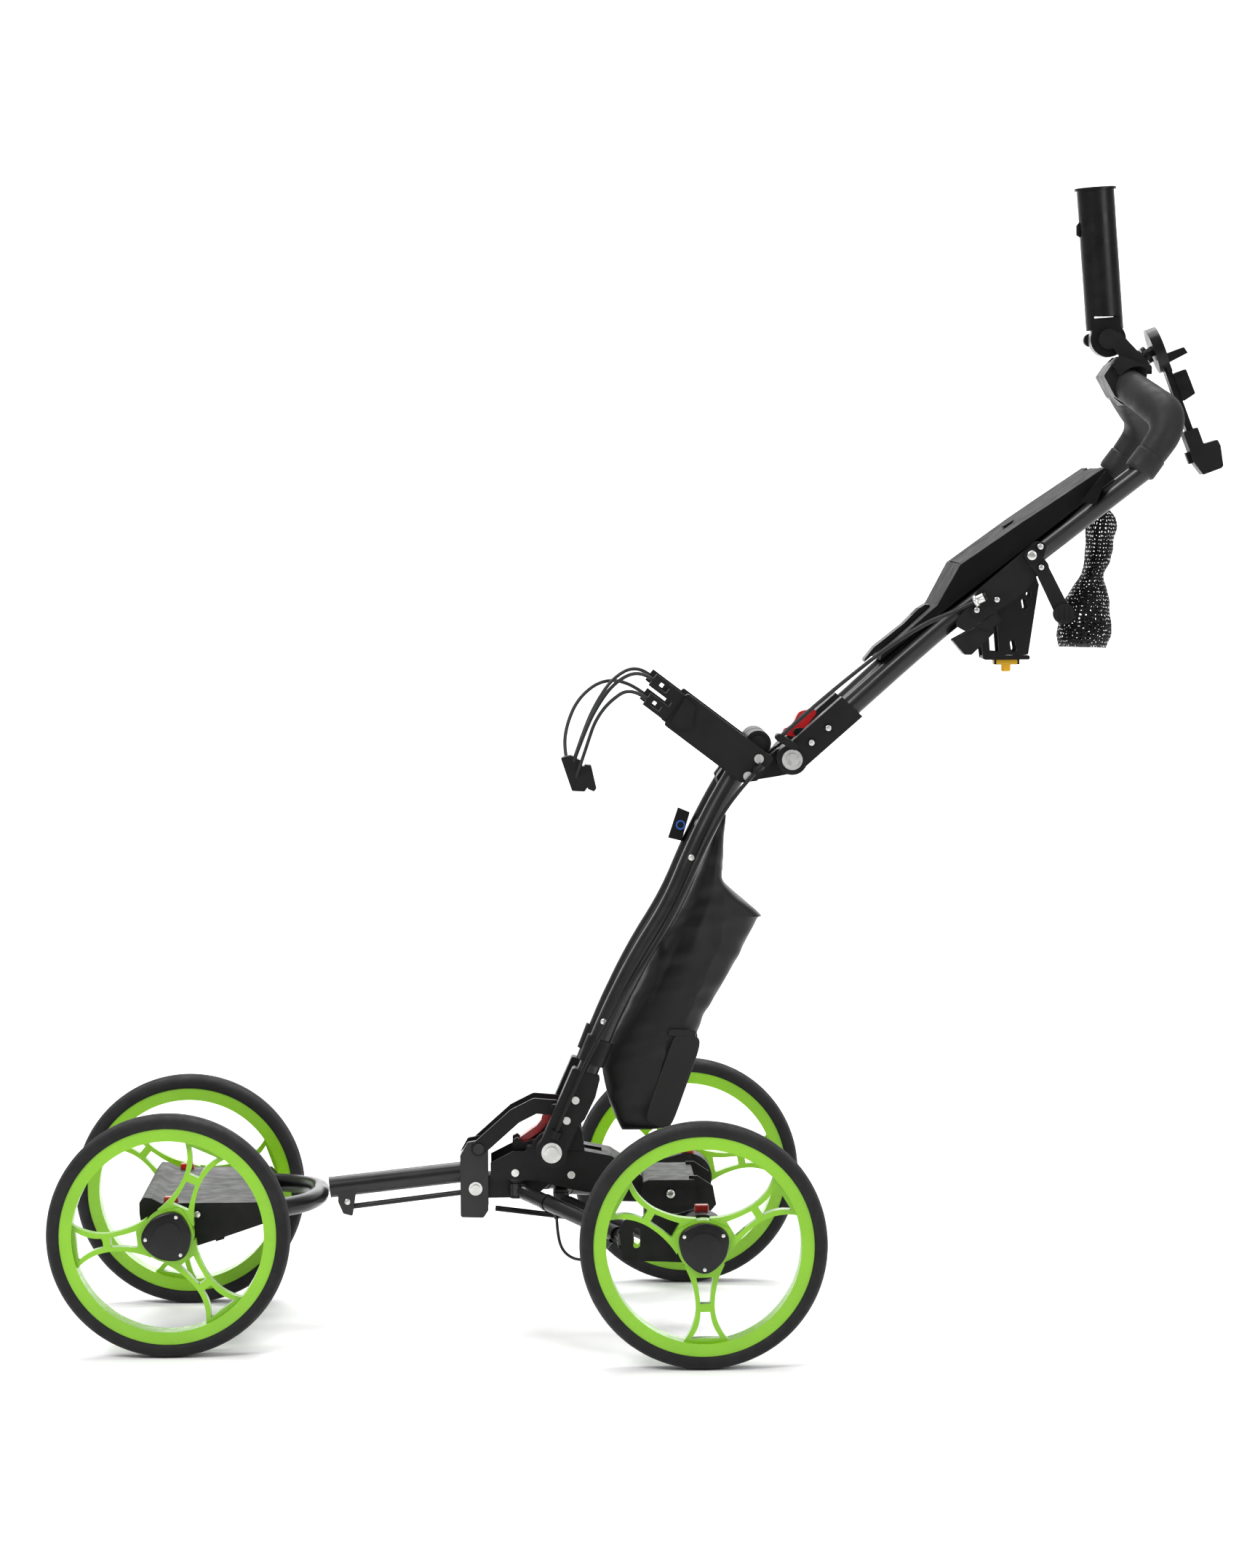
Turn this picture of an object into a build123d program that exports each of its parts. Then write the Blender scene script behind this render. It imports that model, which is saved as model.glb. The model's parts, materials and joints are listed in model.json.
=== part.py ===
"""Folding four-wheel golf push trolley, an assembly of separate pieces.

Millimetres, +Z up, the trolley rolls towards -X and is pushed from +X. The origin is on the ground under
the middle of the whole trolley. Left is -Y. Profiles seen from the side are drawn on planes parallel to
XZ, with Y as the thickness.
"""
from build123d import *
from math import atan2, cos, degrees, hypot, pi, radians, sin, tan
import os

os.makedirs("parts", exist_ok=True)

# ---------------------------------------------------------------- driving dimensions
WHEEL_R = 140.0                     # outside radius of every wheel
AXLE_Z = WHEEL_R
REAR_X, REAR_Y = 60.0, 320.0        # rear wheel centres
FRONT_X, FRONT_Y = -550.0, 198.0    # front wheel centres
TYRE_WIDTH = 42.0
RIM_R, RIM_INNER_R = 124.5, 110.0
HUB_R, CAP_R, AXLE_R = 30.0, 25.5, 8.0
SPOKES = 3

TUBE_R, TUBE_WALL = 12.5, 2.0       # main frame tubes
TUBE_Y = 60.5                       # half the spacing of the tubes at both hinges
RUN = 0.05                          # running clearance of every pin in its bore
GAP = 0.3                           # side clearance between moving cheeks

LOWER_HINGE = (-109.0, 214.0)       # x, z of the hinge between base and lower frame
MIDDLE_HINGE = (176.0, 673.0)       # x, z of the hinge between lower and upper frame
HINGE_PIN_R, HINGE_BOSS_R = 6.0, 18.5
SLEEVE_Y = (46.3, 75.0)             # inner and outer side of the hinge sleeves
LOWER_ANGLE, UPPER_ANGLE = 64.0, 41.0   # slope of the tubes where they leave the sleeves

BOOM_PIVOT = (-199.0, 166.0)        # x, z of the hinge between base and front frame
LINK_ARM = (4.0, 48.0)              # offset of the fold link's pins from both hinges
UPPER_SLOPE = 38.0                  # slope of the upper frame's long straight tubes

STRUT_FRONT = (-150.0, 40.0, 167.0)     # rear strut's pivot on the base
STRUT_WHEEL = (-26.0, 230.0, 135.0)     # rear strut's pivot on the wheel carrier
STRUT_PITCH = (52.0, 0.0, -11.0)        # second strut's offset from the first

SIDES = (("left", -1), ("right", 1))


# ---------------------------------------------------------------- helpers
def at_y(y):
    """The side-view plane at height y: local x is X, local y is Z, and it extrudes towards -Y."""
    return Plane.XZ.offset(-y)


def slab(outline, y_from, y_to, corner=0.0):
    """A flat piece with a side-view outline, between two Y values."""
    low, high = min(y_from, y_to), max(y_from, y_to)
    with BuildPart() as piece:
        with BuildSketch(at_y(high)):
            with BuildLine():
                Polyline(*outline, close=True)
            make_face()
        extrude(amount=high - low)
        if corner:
            fillet(piece.edges().filter_by(Axis.Y), corner)
    return piece.part


def disc(centre, radius, y_from, y_to):
    """A round piece about an axis along Y, centre given as x, z."""
    low, high = min(y_from, y_to), max(y_from, y_to)
    with BuildPart() as piece:
        with BuildSketch(at_y(high)):
            with Locations(centre):
                Circle(radius)
        extrude(amount=high - low)
    return piece.part


def capsule(start, end, radius_start, radius_end, y_from, y_to):
    """A plate with two round ends of their own radius, in side view."""
    low, high = min(y_from, y_to), max(y_from, y_to)
    with BuildPart() as piece:
        with BuildSketch(at_y(high)) as sketch:
            with Locations(start):
                Circle(radius_start)
            with Locations(end):
                Circle(radius_end)
            make_hull()
        extrude(amount=high - low)
    return piece.part


def post(centre, radius, z_from, z_to):
    """A round piece about a vertical axis, centre given as x, y."""
    with BuildPart() as piece:
        with BuildSketch(Plane.XY.offset(z_from)):
            with Locations(centre):
                Circle(radius)
        extrude(amount=z_to - z_from)
    return piece.part


def rod(start, end, radius):
    """A straight round bar between two points."""
    start, end = Vector(*start), Vector(*end)
    with BuildPart() as piece:
        with BuildSketch(Plane(origin=start, z_dir=(end - start).normalized())):
            Circle(radius)
        extrude(amount=(end - start).length)
    return piece.part


def corner_radii(points, largest=1e9):
    """Each corner's radius: 0.45 of its shorter run over the tangent of half its turn."""
    spots = [Vector(*p) for p in points]
    found = []
    for before, here, after in zip(spots, spots[1:], spots[2:]):
        turn = radians((here - before).get_angle(after - here))
        shorter = min((here - before).length, (after - here).length)
        found.append(min(0.45 * shorter / tan(turn / 2), largest))
    return found


def pipe(points, radius, bore=0.0):
    """A tube of straight runs joined by tangent arcs, hollow where a bore is given."""
    first = Vector(*points[1]) - Vector(*points[0])
    with BuildPart() as piece:
        with BuildLine() as route:
            FilletPolyline(*points, radius=corner_radii(points))
        with BuildSketch(Plane(origin=points[0], z_dir=first.normalized())):
            Circle(radius)
            if bore:
                Circle(bore, mode=Mode.SUBTRACT)
        sweep()
    return piece.part


def cord(name, points, radius):
    """A cord's plain solid, with its bends and its length printed."""
    solid = pipe(points, radius)
    length = solid.volume / (pi * radius**2)
    print(name, "length", round(length), "radii", [round(r) for r in corner_radii(points)])
    return solid


def gland(before, end, radius, length):
    """A short socket that carries on from a cord's end, the way the cord was running."""
    way = (Vector(*end) - Vector(*before)).normalized()
    return rod(end, Vector(*end) + way * length, radius)


def flip(points, sign):
    """The same route on the left (-1) or the right (+1): Y is given as a distance from the middle."""
    return [(x, sign * y, z) for x, y, z in points]


def turned(origin, slope):
    """A function from distances along and across a slope to x, z."""
    c, s = cos(radians(slope)), sin(radians(slope))
    return lambda along, across: (
        origin[0] + along * c - across * s,
        origin[1] + along * s + across * c,
    )


def save(builder, name):
    """Label a finished piece and write its file."""
    builder.part.label = name
    export_step(builder.part, f"parts/{name}.step")


# ---------------------------------------------------------------- wheels
TYRE_GROOVES = (-9.0, 0.0, 9.0)
BARREL_R, BARREL_HALF = 15.0, 21.0
CAP_HEIGHT = 8.0
WEB_AT, WEB_HALF = 70.5, 4.5


def tyre(x, y):
    """A solid tyre: a crowned section with grooves around the tread."""
    half = TYRE_WIDTH / 2
    with BuildPart() as piece:
        with BuildSketch(Plane(origin=(x, y, AXLE_Z), x_dir=(1, 0, 0), z_dir=(0, 0, 1))):
            with BuildLine():
                Polyline((RIM_R, -half + 3), (RIM_R, half - 3))
                Line((RIM_R, half - 3), (RIM_R + 7, half))
                ThreePointArc((RIM_R + 7, half), (WHEEL_R, 0), (RIM_R + 7, -half))
                Line((RIM_R + 7, -half), (RIM_R, -half + 3))
            make_face()
            with Locations(*[(WHEEL_R, groove) for groove in TYRE_GROOVES]):
                Rectangle(3.2, 2.0, mode=Mode.SUBTRACT)
        revolve(axis=Axis((x, y, AXLE_Z), (0, 1, 0)))
    return piece.part


def rim(x, y, sign, turn):
    """A moulded rim: ring, hub, three open double spokes and the three-cornered hub cap outside."""
    face = Plane(origin=(x, y, AXLE_Z), x_dir=(1, 0, 0), z_dir=(0, sign, 0))
    flip_turn = -sign * turn
    with BuildPart() as piece:
        with BuildSketch(face.offset(-17)):
            Circle(RIM_R)
            Circle(RIM_INNER_R, mode=Mode.SUBTRACT)
        extrude(amount=34)
        with BuildSketch(face.offset(-BARREL_HALF)):
            Circle(BARREL_R)
        extrude(amount=2 * BARREL_HALF)
        with BuildSketch(face.offset(-8)):
            Circle(HUB_R)
            with PolarLocations(HUB_R - 3, SPOKES, start_angle=flip_turn):
                Circle(8)
            make_hull()
        extrude(amount=20)
        with BuildSketch(face.offset(-8)):
            with PolarLocations(0, SPOKES, start_angle=flip_turn):
                with BuildLine(mode=Mode.PRIVATE) as edge:
                    ThreePointArc((22, 23), (44, 14), (64, 10.7))
                    ThreePointArc((64, 10.7), (88, 14), (RIM_INNER_R + 1, 29))
                    Line((RIM_INNER_R + 1, 29), (RIM_INNER_R + 1, -29))
                    ThreePointArc((RIM_INNER_R + 1, -29), (88, -14), (64, -10.7))
                    ThreePointArc((64, -10.7), (44, -14), (22, -23))
                    Line((22, -23), (22, 23))
                add(make_face(edge.line.edges(), mode=Mode.PRIVATE))
                with BuildLine(mode=Mode.PRIVATE) as near_slot:
                    Polyline((36, 9.5), (50, 7), (WEB_AT - WEB_HALF, 5.4), (WEB_AT - WEB_HALF, -5.4), (50, -7),
                             (36, -9.5), close=True)
                add(make_face(near_slot.line.edges(), mode=Mode.PRIVATE), mode=Mode.SUBTRACT)
                with BuildLine(mode=Mode.PRIVATE) as far_slot:
                    ThreePointArc((WEB_AT + WEB_HALF, 5.6), (91, 8.6), (105, 17))
                    Line((105, 17), (105, -17))
                    ThreePointArc((105, -17), (91, -8.6), (WEB_AT + WEB_HALF, -5.6))
                    Line((WEB_AT + WEB_HALF, -5.6), (WEB_AT + WEB_HALF, 5.6))
                add(make_face(far_slot.line.edges(), mode=Mode.PRIVATE), mode=Mode.SUBTRACT)
        extrude(amount=16)
        with BuildSketch(face.offset(12)):
            Circle(CAP_R)
            with PolarLocations(CAP_R - 1, SPOKES, start_angle=flip_turn):
                Circle(5.5)
            make_hull()
        extrude(amount=CAP_HEIGHT, taper=12)
        with BuildSketch(face.offset(-BARREL_HALF)):
            Circle(AXLE_R + RUN)
        extrude(amount=BARREL_HALF + 14, mode=Mode.SUBTRACT)
    return piece.part


WHEELS = (
    ("front", FRONT_X, FRONT_Y, (66.0, 20.0)),
    ("rear", REAR_X, REAR_Y, (31.0, 10.0)),
)
for end, wheel_x, wheel_y, turns in WHEELS:
    for (side, sign), first_spoke in zip(SIDES, turns):
        with BuildPart() as tyre_piece:
            add(tyre(wheel_x, sign * wheel_y))
        save(tyre_piece, f"tyre_{end}_{side}")
        with BuildPart() as rim_piece:
            add(rim(wheel_x, sign * wheel_y, sign, first_spoke))
        save(rim_piece, f"rim_{end}_{side}")

# ---------------------------------------------------------------- base
PLATE_OUT, PLATE_IN = 45.0, 42.0
CHEEK_OUT, CHEEK_IN = 45.0, 32.0
CHANNEL_TOP = 212.0
WEB_START = -140.0
TONGUE_HALF, TONGUE_R = 19.5, 12.0
NOSE_HALF = 24.0
LEVER_SLOT_R, LEVER_SLOT_HALF = 60.0, 15.6  # the way the lock lever takes as the frame folds

CHANNEL_SIDE = (
    (-181, 180), (-181, 199), (-155, 212), (-70, 212), (-39, 206), (-3, 182),
    (-3, 152), (-84, 166), (-125, 177),
)
with BuildPart() as base_channel:
    for sign in (-1, 1):
        add(slab(CHANNEL_SIDE, sign * PLATE_IN, sign * PLATE_OUT))
    add(slab(((WEB_START, 209), (WEB_START, 212), (-70, 212), (-39, 206), (-3, 182), (-3, 179),
              (-39, 203), (-70, 209)), -PLATE_OUT, PLATE_OUT))
    # tongue that carries the front frame's hinge, and the webs that tie it to the side plates
    add(slab(((-199, 154), (-130, 154), (-100, 180), (-130, 190), (-199, 178)), -TONGUE_HALF, TONGUE_HALF))
    add(disc(BOOM_PIVOT, TONGUE_R, -TONGUE_HALF, TONGUE_HALF))
    add(slab(((-122, 178), (-112, 178), (-112, 210), (-122, 210)), -PLATE_IN, PLATE_IN))
    # ears under the channel that hold the rear struts' pins, one above and one below each eye
    for sign in (-1, 1):
        for along, pin_z in ((0, STRUT_FRONT[2]), (STRUT_PITCH[0], STRUT_FRONT[2] + STRUT_PITCH[2])):
            pin = (STRUT_FRONT[0] + along, sign * STRUT_FRONT[1])
            for low, high in ((pin_z + 7.4, pin_z + 10.4), (pin_z - 10.4, pin_z - 7.4)):
                add(post(pin, 8, low, high))
                with BuildSketch(Plane.XY.offset(low)):
                    with Locations((pin[0], sign * 29.5)):
                        Rectangle(14, 21)
                extrude(amount=high - low)
            add(post(pin, 4, pin_z - 10.4, pin_z + 10.4))
            with BuildSketch(Plane.XY.offset(pin_z - 10.4)):
                with Locations((pin[0], sign * 20.75)):
                    Rectangle(14, 3.5)
            extrude(amount=20.8)
    add(slab(((-104, 142), (-92, 142), (-92, 205), (-104, 205)), -20, 20))
    add(disc(BOOM_PIVOT, HINGE_PIN_R, -TONGUE_HALF, TONGUE_HALF), mode=Mode.SUBTRACT)
    add(disc(LOWER_HINGE, HINGE_PIN_R, -PLATE_OUT, PLATE_OUT), mode=Mode.SUBTRACT)
    add(disc(LOWER_HINGE, LEVER_SLOT_R, -LEVER_SLOT_HALF, LEVER_SLOT_HALF), mode=Mode.SUBTRACT)
save(base_channel, "base_channel")

HOOK = ((-155, 213), (-155, 223), (-149, 226), (-143, 220), (-136, 222), (-128, 224), (-128, 213))
CHEEK = ((-136, 212.5), (-131, 222), (-120, 232), (-92, 240), (-80, 252), (-73, 236), (-70, 212.5))
with BuildPart() as hinge_casting:
    add(slab(((-138, 212.3), (-138, 218), (-72, 218), (-72, 212.3)), -CHEEK_OUT, CHEEK_OUT))
    add(slab(HOOK, -NOSE_HALF, NOSE_HALF))
    for sign in (-1, 1):
        add(slab(CHEEK, sign * CHEEK_IN, sign * CHEEK_OUT))
        add(disc(LOWER_HINGE, 22, sign * CHEEK_IN, sign * CHEEK_OUT))
    with BuildSketch(at_y(PLATE_OUT)):
        with Locations((LOWER_HINGE[0], 200)):
            Rectangle(60, 24.6)
    extrude(amount=2 * PLATE_OUT, mode=Mode.SUBTRACT)
    add(disc(LOWER_HINGE, HINGE_PIN_R, -PLATE_OUT, PLATE_OUT), mode=Mode.SUBTRACT)
    add(disc(LOWER_HINGE, LEVER_SLOT_R, -LEVER_SLOT_HALF, LEVER_SLOT_HALF), mode=Mode.SUBTRACT)
save(hinge_casting, "hinge_casting")


def hinge_bolt(centre, half_length, pin_radius, head_radius=12.0):
    """A pin across the trolley with a washer and a domed head on each end."""
    with BuildPart() as piece:
        add(disc(centre, pin_radius, -half_length, half_length))
        for sign in (-1, 1):
            add(disc(centre, head_radius, sign * half_length, sign * (half_length + 2)))
            add(disc(centre, head_radius * 0.62, sign * half_length, sign * (half_length + 6)))
    return piece.part


PLATE_SCREWS = ((-152, 187), (-86, 184))
with BuildPart() as base_fasteners:
    add(hinge_bolt(LOWER_HINGE, SLEEVE_Y[1] + 0.4, HINGE_PIN_R))
    add(hinge_bolt(BOOM_PIVOT, 25.4, HINGE_PIN_R, 8.0))
    for sign in (-1, 1):
        for screw in PLATE_SCREWS:
            add(disc(screw, 4.5, sign * PLATE_OUT, sign * (PLATE_OUT + 3)))
save(base_fasteners, "base_fasteners")

BEAM_HALF = 78.0
with BuildPart() as rear_beam:
    add(slab(((-2.9, 150), (-2.9, 178), (4, 181), (59, 181), (59, 150)), -BEAM_HALF, BEAM_HALF, 2))
    add(slab(((0, 112), (0, 151), (57, 151), (57, 127), (40, 118)), -30, 30, 3))
    for sign in (-1, 1):
        add(slab(((52, 150), (52, 184), (62, 184), (80, 172), (84, 150), (74, 138), (60, 132)),
                 sign * 62, sign * 66))
        # a thin tie rod from the front of the base to the beam, on each side of the middle
        add(rod((-92, sign * 8, 128.0), (1, sign * 8, 117.5), 2.2))
        add(rod((-176, sign * 8, 139.0), (-92, sign * 8, 128.0), 2.2))
        add(disc((30, 165), 6, sign * BEAM_HALF, sign * (BEAM_HALF + 3)))
save(rear_beam, "rear_beam")

# ---------------------------------------------------------------- rear wheel struts and carriers
STRUT_R, EYE_R, EYE_HALF, PIN_R = 9.0, 9.5, 7.0, 4.0


def strut(front, wheel, radius):
    """A strut between two vertical pins: a tube with an eye at each end and a thicker sleeve in front."""
    front, wheel = Vector(*front), Vector(*wheel)
    way = (wheel - front).normalized()
    with BuildPart() as piece:
        add(rod(front + way * 18, wheel - way * 18, radius))
        add(rod(front + way * 8.5, wheel - way * 8.5, 5.8))
        add(rod(front + way * 62, front + way * 68, radius + 1))
        for end in (front, wheel):
            add(post((end.X, end.Y), EYE_R, end.Z - EYE_HALF, end.Z + EYE_HALF))
        for end in (front, wheel):
            with BuildSketch(Plane.XY.offset(end.Z - 12)):
                with Locations((end.X, end.Y)):
                    Circle(PIN_R + RUN)
            extrude(amount=24, mode=Mode.SUBTRACT)
    return piece.part


def offset_by(point, shift):
    return tuple(a + b for a, b in zip(point, shift))


BRAKE_LOOP_R = 1.8
BRAKE_LOOP = [
    (-104, 112, 142), (-103, 124, 121), (-96, 146, 106), (-80, 172, 101), (-60, 193, 108), (-49, 206, 122),
]
CARRIER_PLATE = ((-30, 112), (-34, 150), (-24, 161), (34, 165), (60, 172), (90, 140), (60, 108), (20, 110))
for side, sign in SIDES:
    front, wheel = [tuple(p) for p in flip([STRUT_FRONT, STRUT_WHEEL], sign)]
    with BuildPart() as strut_piece:
        add(strut(front, wheel, STRUT_R))
        loop = flip(BRAKE_LOOP, sign)
        add(gland(loop[1], loop[0], 3, 10))
        add(gland(loop[-2], loop[-1], 3, 13))
    save(strut_piece, f"strut_{side}")
    with BuildPart() as link_piece:
        add(strut(offset_by(front, STRUT_PITCH), offset_by(wheel, STRUT_PITCH), 6.5))
    save(link_piece, f"strut_link_{side}")

    with BuildPart() as wheel_carrier:
        add(slab(CARRIER_PLATE, sign * 241.5, sign * 246, 3))
        add(disc((REAR_X, AXLE_Z), 30, sign * 246, sign * 290))
        add(disc((REAR_X, AXLE_Z), 14, sign * 290, sign * 298))
        add(disc((REAR_X, AXLE_Z), AXLE_R, sign * 290, sign * (REAR_Y + 12)))
        for eye in (wheel, offset_by(wheel, STRUT_PITCH)):
            for low, high in ((eye[2] + 7.4, eye[2] + 10.4), (eye[2] - 10.4, eye[2] - 7.4)):
                add(post(eye[:2], 8.5, low, high))
                with BuildSketch(Plane.XY.offset(low)):
                    with Locations((eye[0], sign * 236.5)):
                        Rectangle(17, 13)
                extrude(amount=high - low)
            add(post(eye[:2], PIN_R, eye[2] - 10.4, eye[2] + 10.4))
        with BuildSketch(at_y(sign * 243.75 + 4)):
            with Locations((-14, 137.5)):
                SlotOverall(24, 8, rotation=90)
        extrude(amount=8, mode=Mode.SUBTRACT)
        with BuildSketch(Plane.XY.offset(160)):
            with Locations((REAR_X, sign * 256)):
                Rectangle(16.6, 12.6)
        extrude(amount=20, mode=Mode.SUBTRACT)
    save(wheel_carrier, f"wheel_carrier_{side}")

    with BuildPart() as rear_button:
        with BuildSketch(Plane.XY.offset(163.5)):
            with Locations((REAR_X, sign * 256)):
                RectangleRounded(16, 12, 2)
        extrude(amount=13.5)
        fillet(rear_button.faces().sort_by(Axis.Z)[-1].edges(), 2)
    save(rear_button, f"rear_button_{side}")

    with BuildPart() as brake_cable:
        add(cord(f"brake_cable_{side}", flip(BRAKE_LOOP, sign), BRAKE_LOOP_R))
    save(brake_cable, f"brake_cable_{side}")

# ---------------------------------------------------------------- front frame: boom, fork, housing
BRACKET_IN, BRACKET_OUT = 19.8, 25.0
BOOM_R = 12.5
FORK_R = 11.0
BOOM_FRONT, BOOM_REAR = (-372.0, 0.0, 166.0), (-213.0, 0.0, 183.0)
LINK_PIN = (BOOM_PIVOT[0] + LINK_ARM[0], BOOM_PIVOT[1] + LINK_ARM[1])
BRACKET = ((-217, 132), (-217, 205), (-208, 221), (-190, 224), (-184, 216), (-184, 140), (-190, 131))
with BuildPart() as boom:
    add(rod(BOOM_FRONT, BOOM_REAR, BOOM_R))
    for sign in (-1, 1):
        add(slab(BRACKET, sign * BRACKET_IN, sign * BRACKET_OUT, 3))
        add(rod((-346, sign * 8, 143.0), (-214, sign * 8, 158.5), 2.2))
        add(disc(LINK_PIN, PIN_R, sign * BRACKET_IN, sign * 31.4))
        add(disc(LINK_PIN, 6.5, sign * 31.4, sign * 34))
    add(slab(((-217, 145), (-217, 205), (-212, 210), (-212, 145)), -BRACKET_OUT, BRACKET_OUT))
    add(slab(((-362, 168), (-362, 150), (-356, 136), (-345, 133), (-341, 160), (-338, 170)), -12, 12, 2))
    with BuildSketch(at_y(BRACKET_OUT)):
        with Locations(BOOM_PIVOT):
            Circle(HINGE_PIN_R + RUN)
    extrude(amount=2 * BRACKET_OUT, mode=Mode.SUBTRACT)
save(boom, "boom")

HOUSING_HALF = 158.0
FORK_PATH = [(-552, 125, 157), (-492, 125, 157), (-436, 116, 157), (-399, 78, 158), (-384, 36, 160)]
FORK_ROUTE = flip(FORK_PATH, -1) + FORK_PATH[::-1]
with BuildPart() as fork:
    add(pipe(FORK_ROUTE, FORK_R, FORK_R - TUBE_WALL))
    add(disc((FRONT_X, AXLE_Z), AXLE_R, -FRONT_Y - 12, FRONT_Y + 12))
    add(disc((FRONT_X, AXLE_Z), 13, -FRONT_Y + 22.5, -HOUSING_HALF))
    add(disc((FRONT_X, AXLE_Z), 13, HOUSING_HALF, FRONT_Y - 22.5))
    with BuildSketch(Plane(origin=BOOM_FRONT, z_dir=(1, 0, 0.107))):
        Circle(BOOM_R)
    extrude(amount=8, mode=Mode.SUBTRACT)
save(fork, "fork")

HOUSING_SIDE = (
    (-582, 130), (-586, 160), (-586, 172), (-581, 178), (-572, 177), (-561, 171), (-448, 171), (-442, 164),
    (-443, 146), (-488, 131), (-520, 121), (-545, 112), (-570, 112),
)
with BuildPart() as front_housing:
    add(slab(HOUSING_SIDE, -HOUSING_HALF, HOUSING_HALF, 2))
    for sign in (-1, 1):
        add(slab(((-500, 122), (-500, 132), (-490, 134), (-490, 125)), sign * 120, sign * 132))
        add(disc((-519, 158), 4, sign * HOUSING_HALF, sign * (HOUSING_HALF + 3)))
    add(pipe(FORK_ROUTE, FORK_R), mode=Mode.SUBTRACT)
    add(disc((FRONT_X, AXLE_Z), AXLE_R, -HOUSING_HALF, HOUSING_HALF), mode=Mode.SUBTRACT)
    for sign in (-1, 1):
        with BuildSketch(Plane.XY.offset(160)):
            with Locations((FRONT_X, sign * 146)):
                Rectangle(16.6, 12.6)
        extrude(amount=20, mode=Mode.SUBTRACT)
save(front_housing, "front_housing")

for side, sign in SIDES:
    with BuildPart() as front_button:
        with BuildSketch(Plane.XY.offset(163.5)):
            with Locations((FRONT_X, sign * 146)):
                RectangleRounded(16, 12, 2)
        extrude(amount=14)
        fillet(front_button.faces().sort_by(Axis.Z)[-1].edges(), 2)
    save(front_button, f"front_button_{side}")

# ---------------------------------------------------------------- fold links
LINK_FRAME_PIN = (LOWER_HINGE[0] + LINK_ARM[0], LOWER_HINGE[1] + LINK_ARM[1])
LINK_IN, LINK_OUT, LINK_HALF = 25.6, 31.0, 9.0
LINK_BEND, LINK_KNEE = (-152.0, 252.0), (-128.0, 264.0)
with BuildPart() as fold_links:
    for sign in (-1, 1):
        for start, end in ((LINK_PIN, LINK_BEND), (LINK_BEND, LINK_KNEE), (LINK_KNEE, LINK_FRAME_PIN)):
            add(capsule(start, end, LINK_HALF, LINK_HALF, sign * LINK_IN, sign * LINK_OUT))
    add(disc((-150, 254), 4, -LINK_IN, LINK_IN))
    with BuildSketch(at_y(LINK_OUT)):
        with Locations(LINK_PIN, LINK_FRAME_PIN):
            Circle(PIN_R + RUN)
    extrude(amount=2 * LINK_OUT, mode=Mode.SUBTRACT)
save(fold_links, "fold_links")

# ---------------------------------------------------------------- lower frame
LOWER_ROUTE = [
    (-92, 60.5, 249), (-68, 60.5, 303), (-43, 63, 366), (-8, 68, 437), (35, 70, 505), (62, 68, 568),
    (86, 63, 616), (112, 60.5, 660),
]
lower_along = turned(LOWER_HINGE, LOWER_ANGLE + 2)
upper_along = turned(MIDDLE_HINGE, UPPER_ANGLE)
CROSSBARS = ((10, 460), (72, 590))
with BuildPart() as lower_tubes:
    for sign in (-1, 1):
        add(pipe(flip(LOWER_ROUTE, sign), TUBE_R, TUBE_R - TUBE_WALL))
    for bar_x, bar_z in CROSSBARS:
        add(disc((bar_x, bar_z), 7, -57, 57))
save(lower_tubes, "lower_tubes")

SCREW_DISTANCES = (42.0, 68.0)
LOWER_LOCK_PIN = lower_along(50, 4)
LOWER_CABLE = [
    (-103, 81, 240), (-85, 82, 284), (-60, 83.5, 336), (-24, 87, 400), (20, 90, 466), (52, 90, 528),
    (78, 90, 584), (104, 93.5, 630), (134, 96.5, 662),
]
with BuildPart() as lower_sleeves:
    for sign in (-1, 1):
        inner, outer = sign * SLEEVE_Y[0], sign * SLEEVE_Y[1]
        add(disc(LOWER_HINGE, HINGE_BOSS_R, inner, outer))
        add(slab((lower_along(0, 16.5), lower_along(102, 17), lower_along(104, -17), lower_along(80, -21),
                  lower_along(52, -20), lower_along(40, -16), lower_along(0, -16.5)), inner, outer, 3))
        add(rod((LINK_FRAME_PIN[0], sign * LINK_IN, LINK_FRAME_PIN[1]),
                (LINK_FRAME_PIN[0], inner, LINK_FRAME_PIN[1]), PIN_R))
        add(rod((LINK_FRAME_PIN[0], sign * (LINK_OUT + GAP), LINK_FRAME_PIN[1]),
                (LINK_FRAME_PIN[0], inner, LINK_FRAME_PIN[1]), 5.5))
        add(pipe(flip(LOWER_ROUTE, sign), TUBE_R), mode=Mode.SUBTRACT)
        with BuildSketch(at_y(max(inner, outer))):
            with Locations(LOWER_HINGE):
                Circle(HINGE_PIN_R + RUN)
        extrude(amount=abs(outer - inner), mode=Mode.SUBTRACT)
    # cross pin that carries the lock lever, and the socket of the brake cable
    add(disc(LOWER_LOCK_PIN, 3, -SLEEVE_Y[0], SLEEVE_Y[0]))
    cable = flip(LOWER_CABLE, -1)
    add(gland(cable[1], cable[0], 6.4, 9))
save(lower_sleeves, "lower_sleeves")

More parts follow.
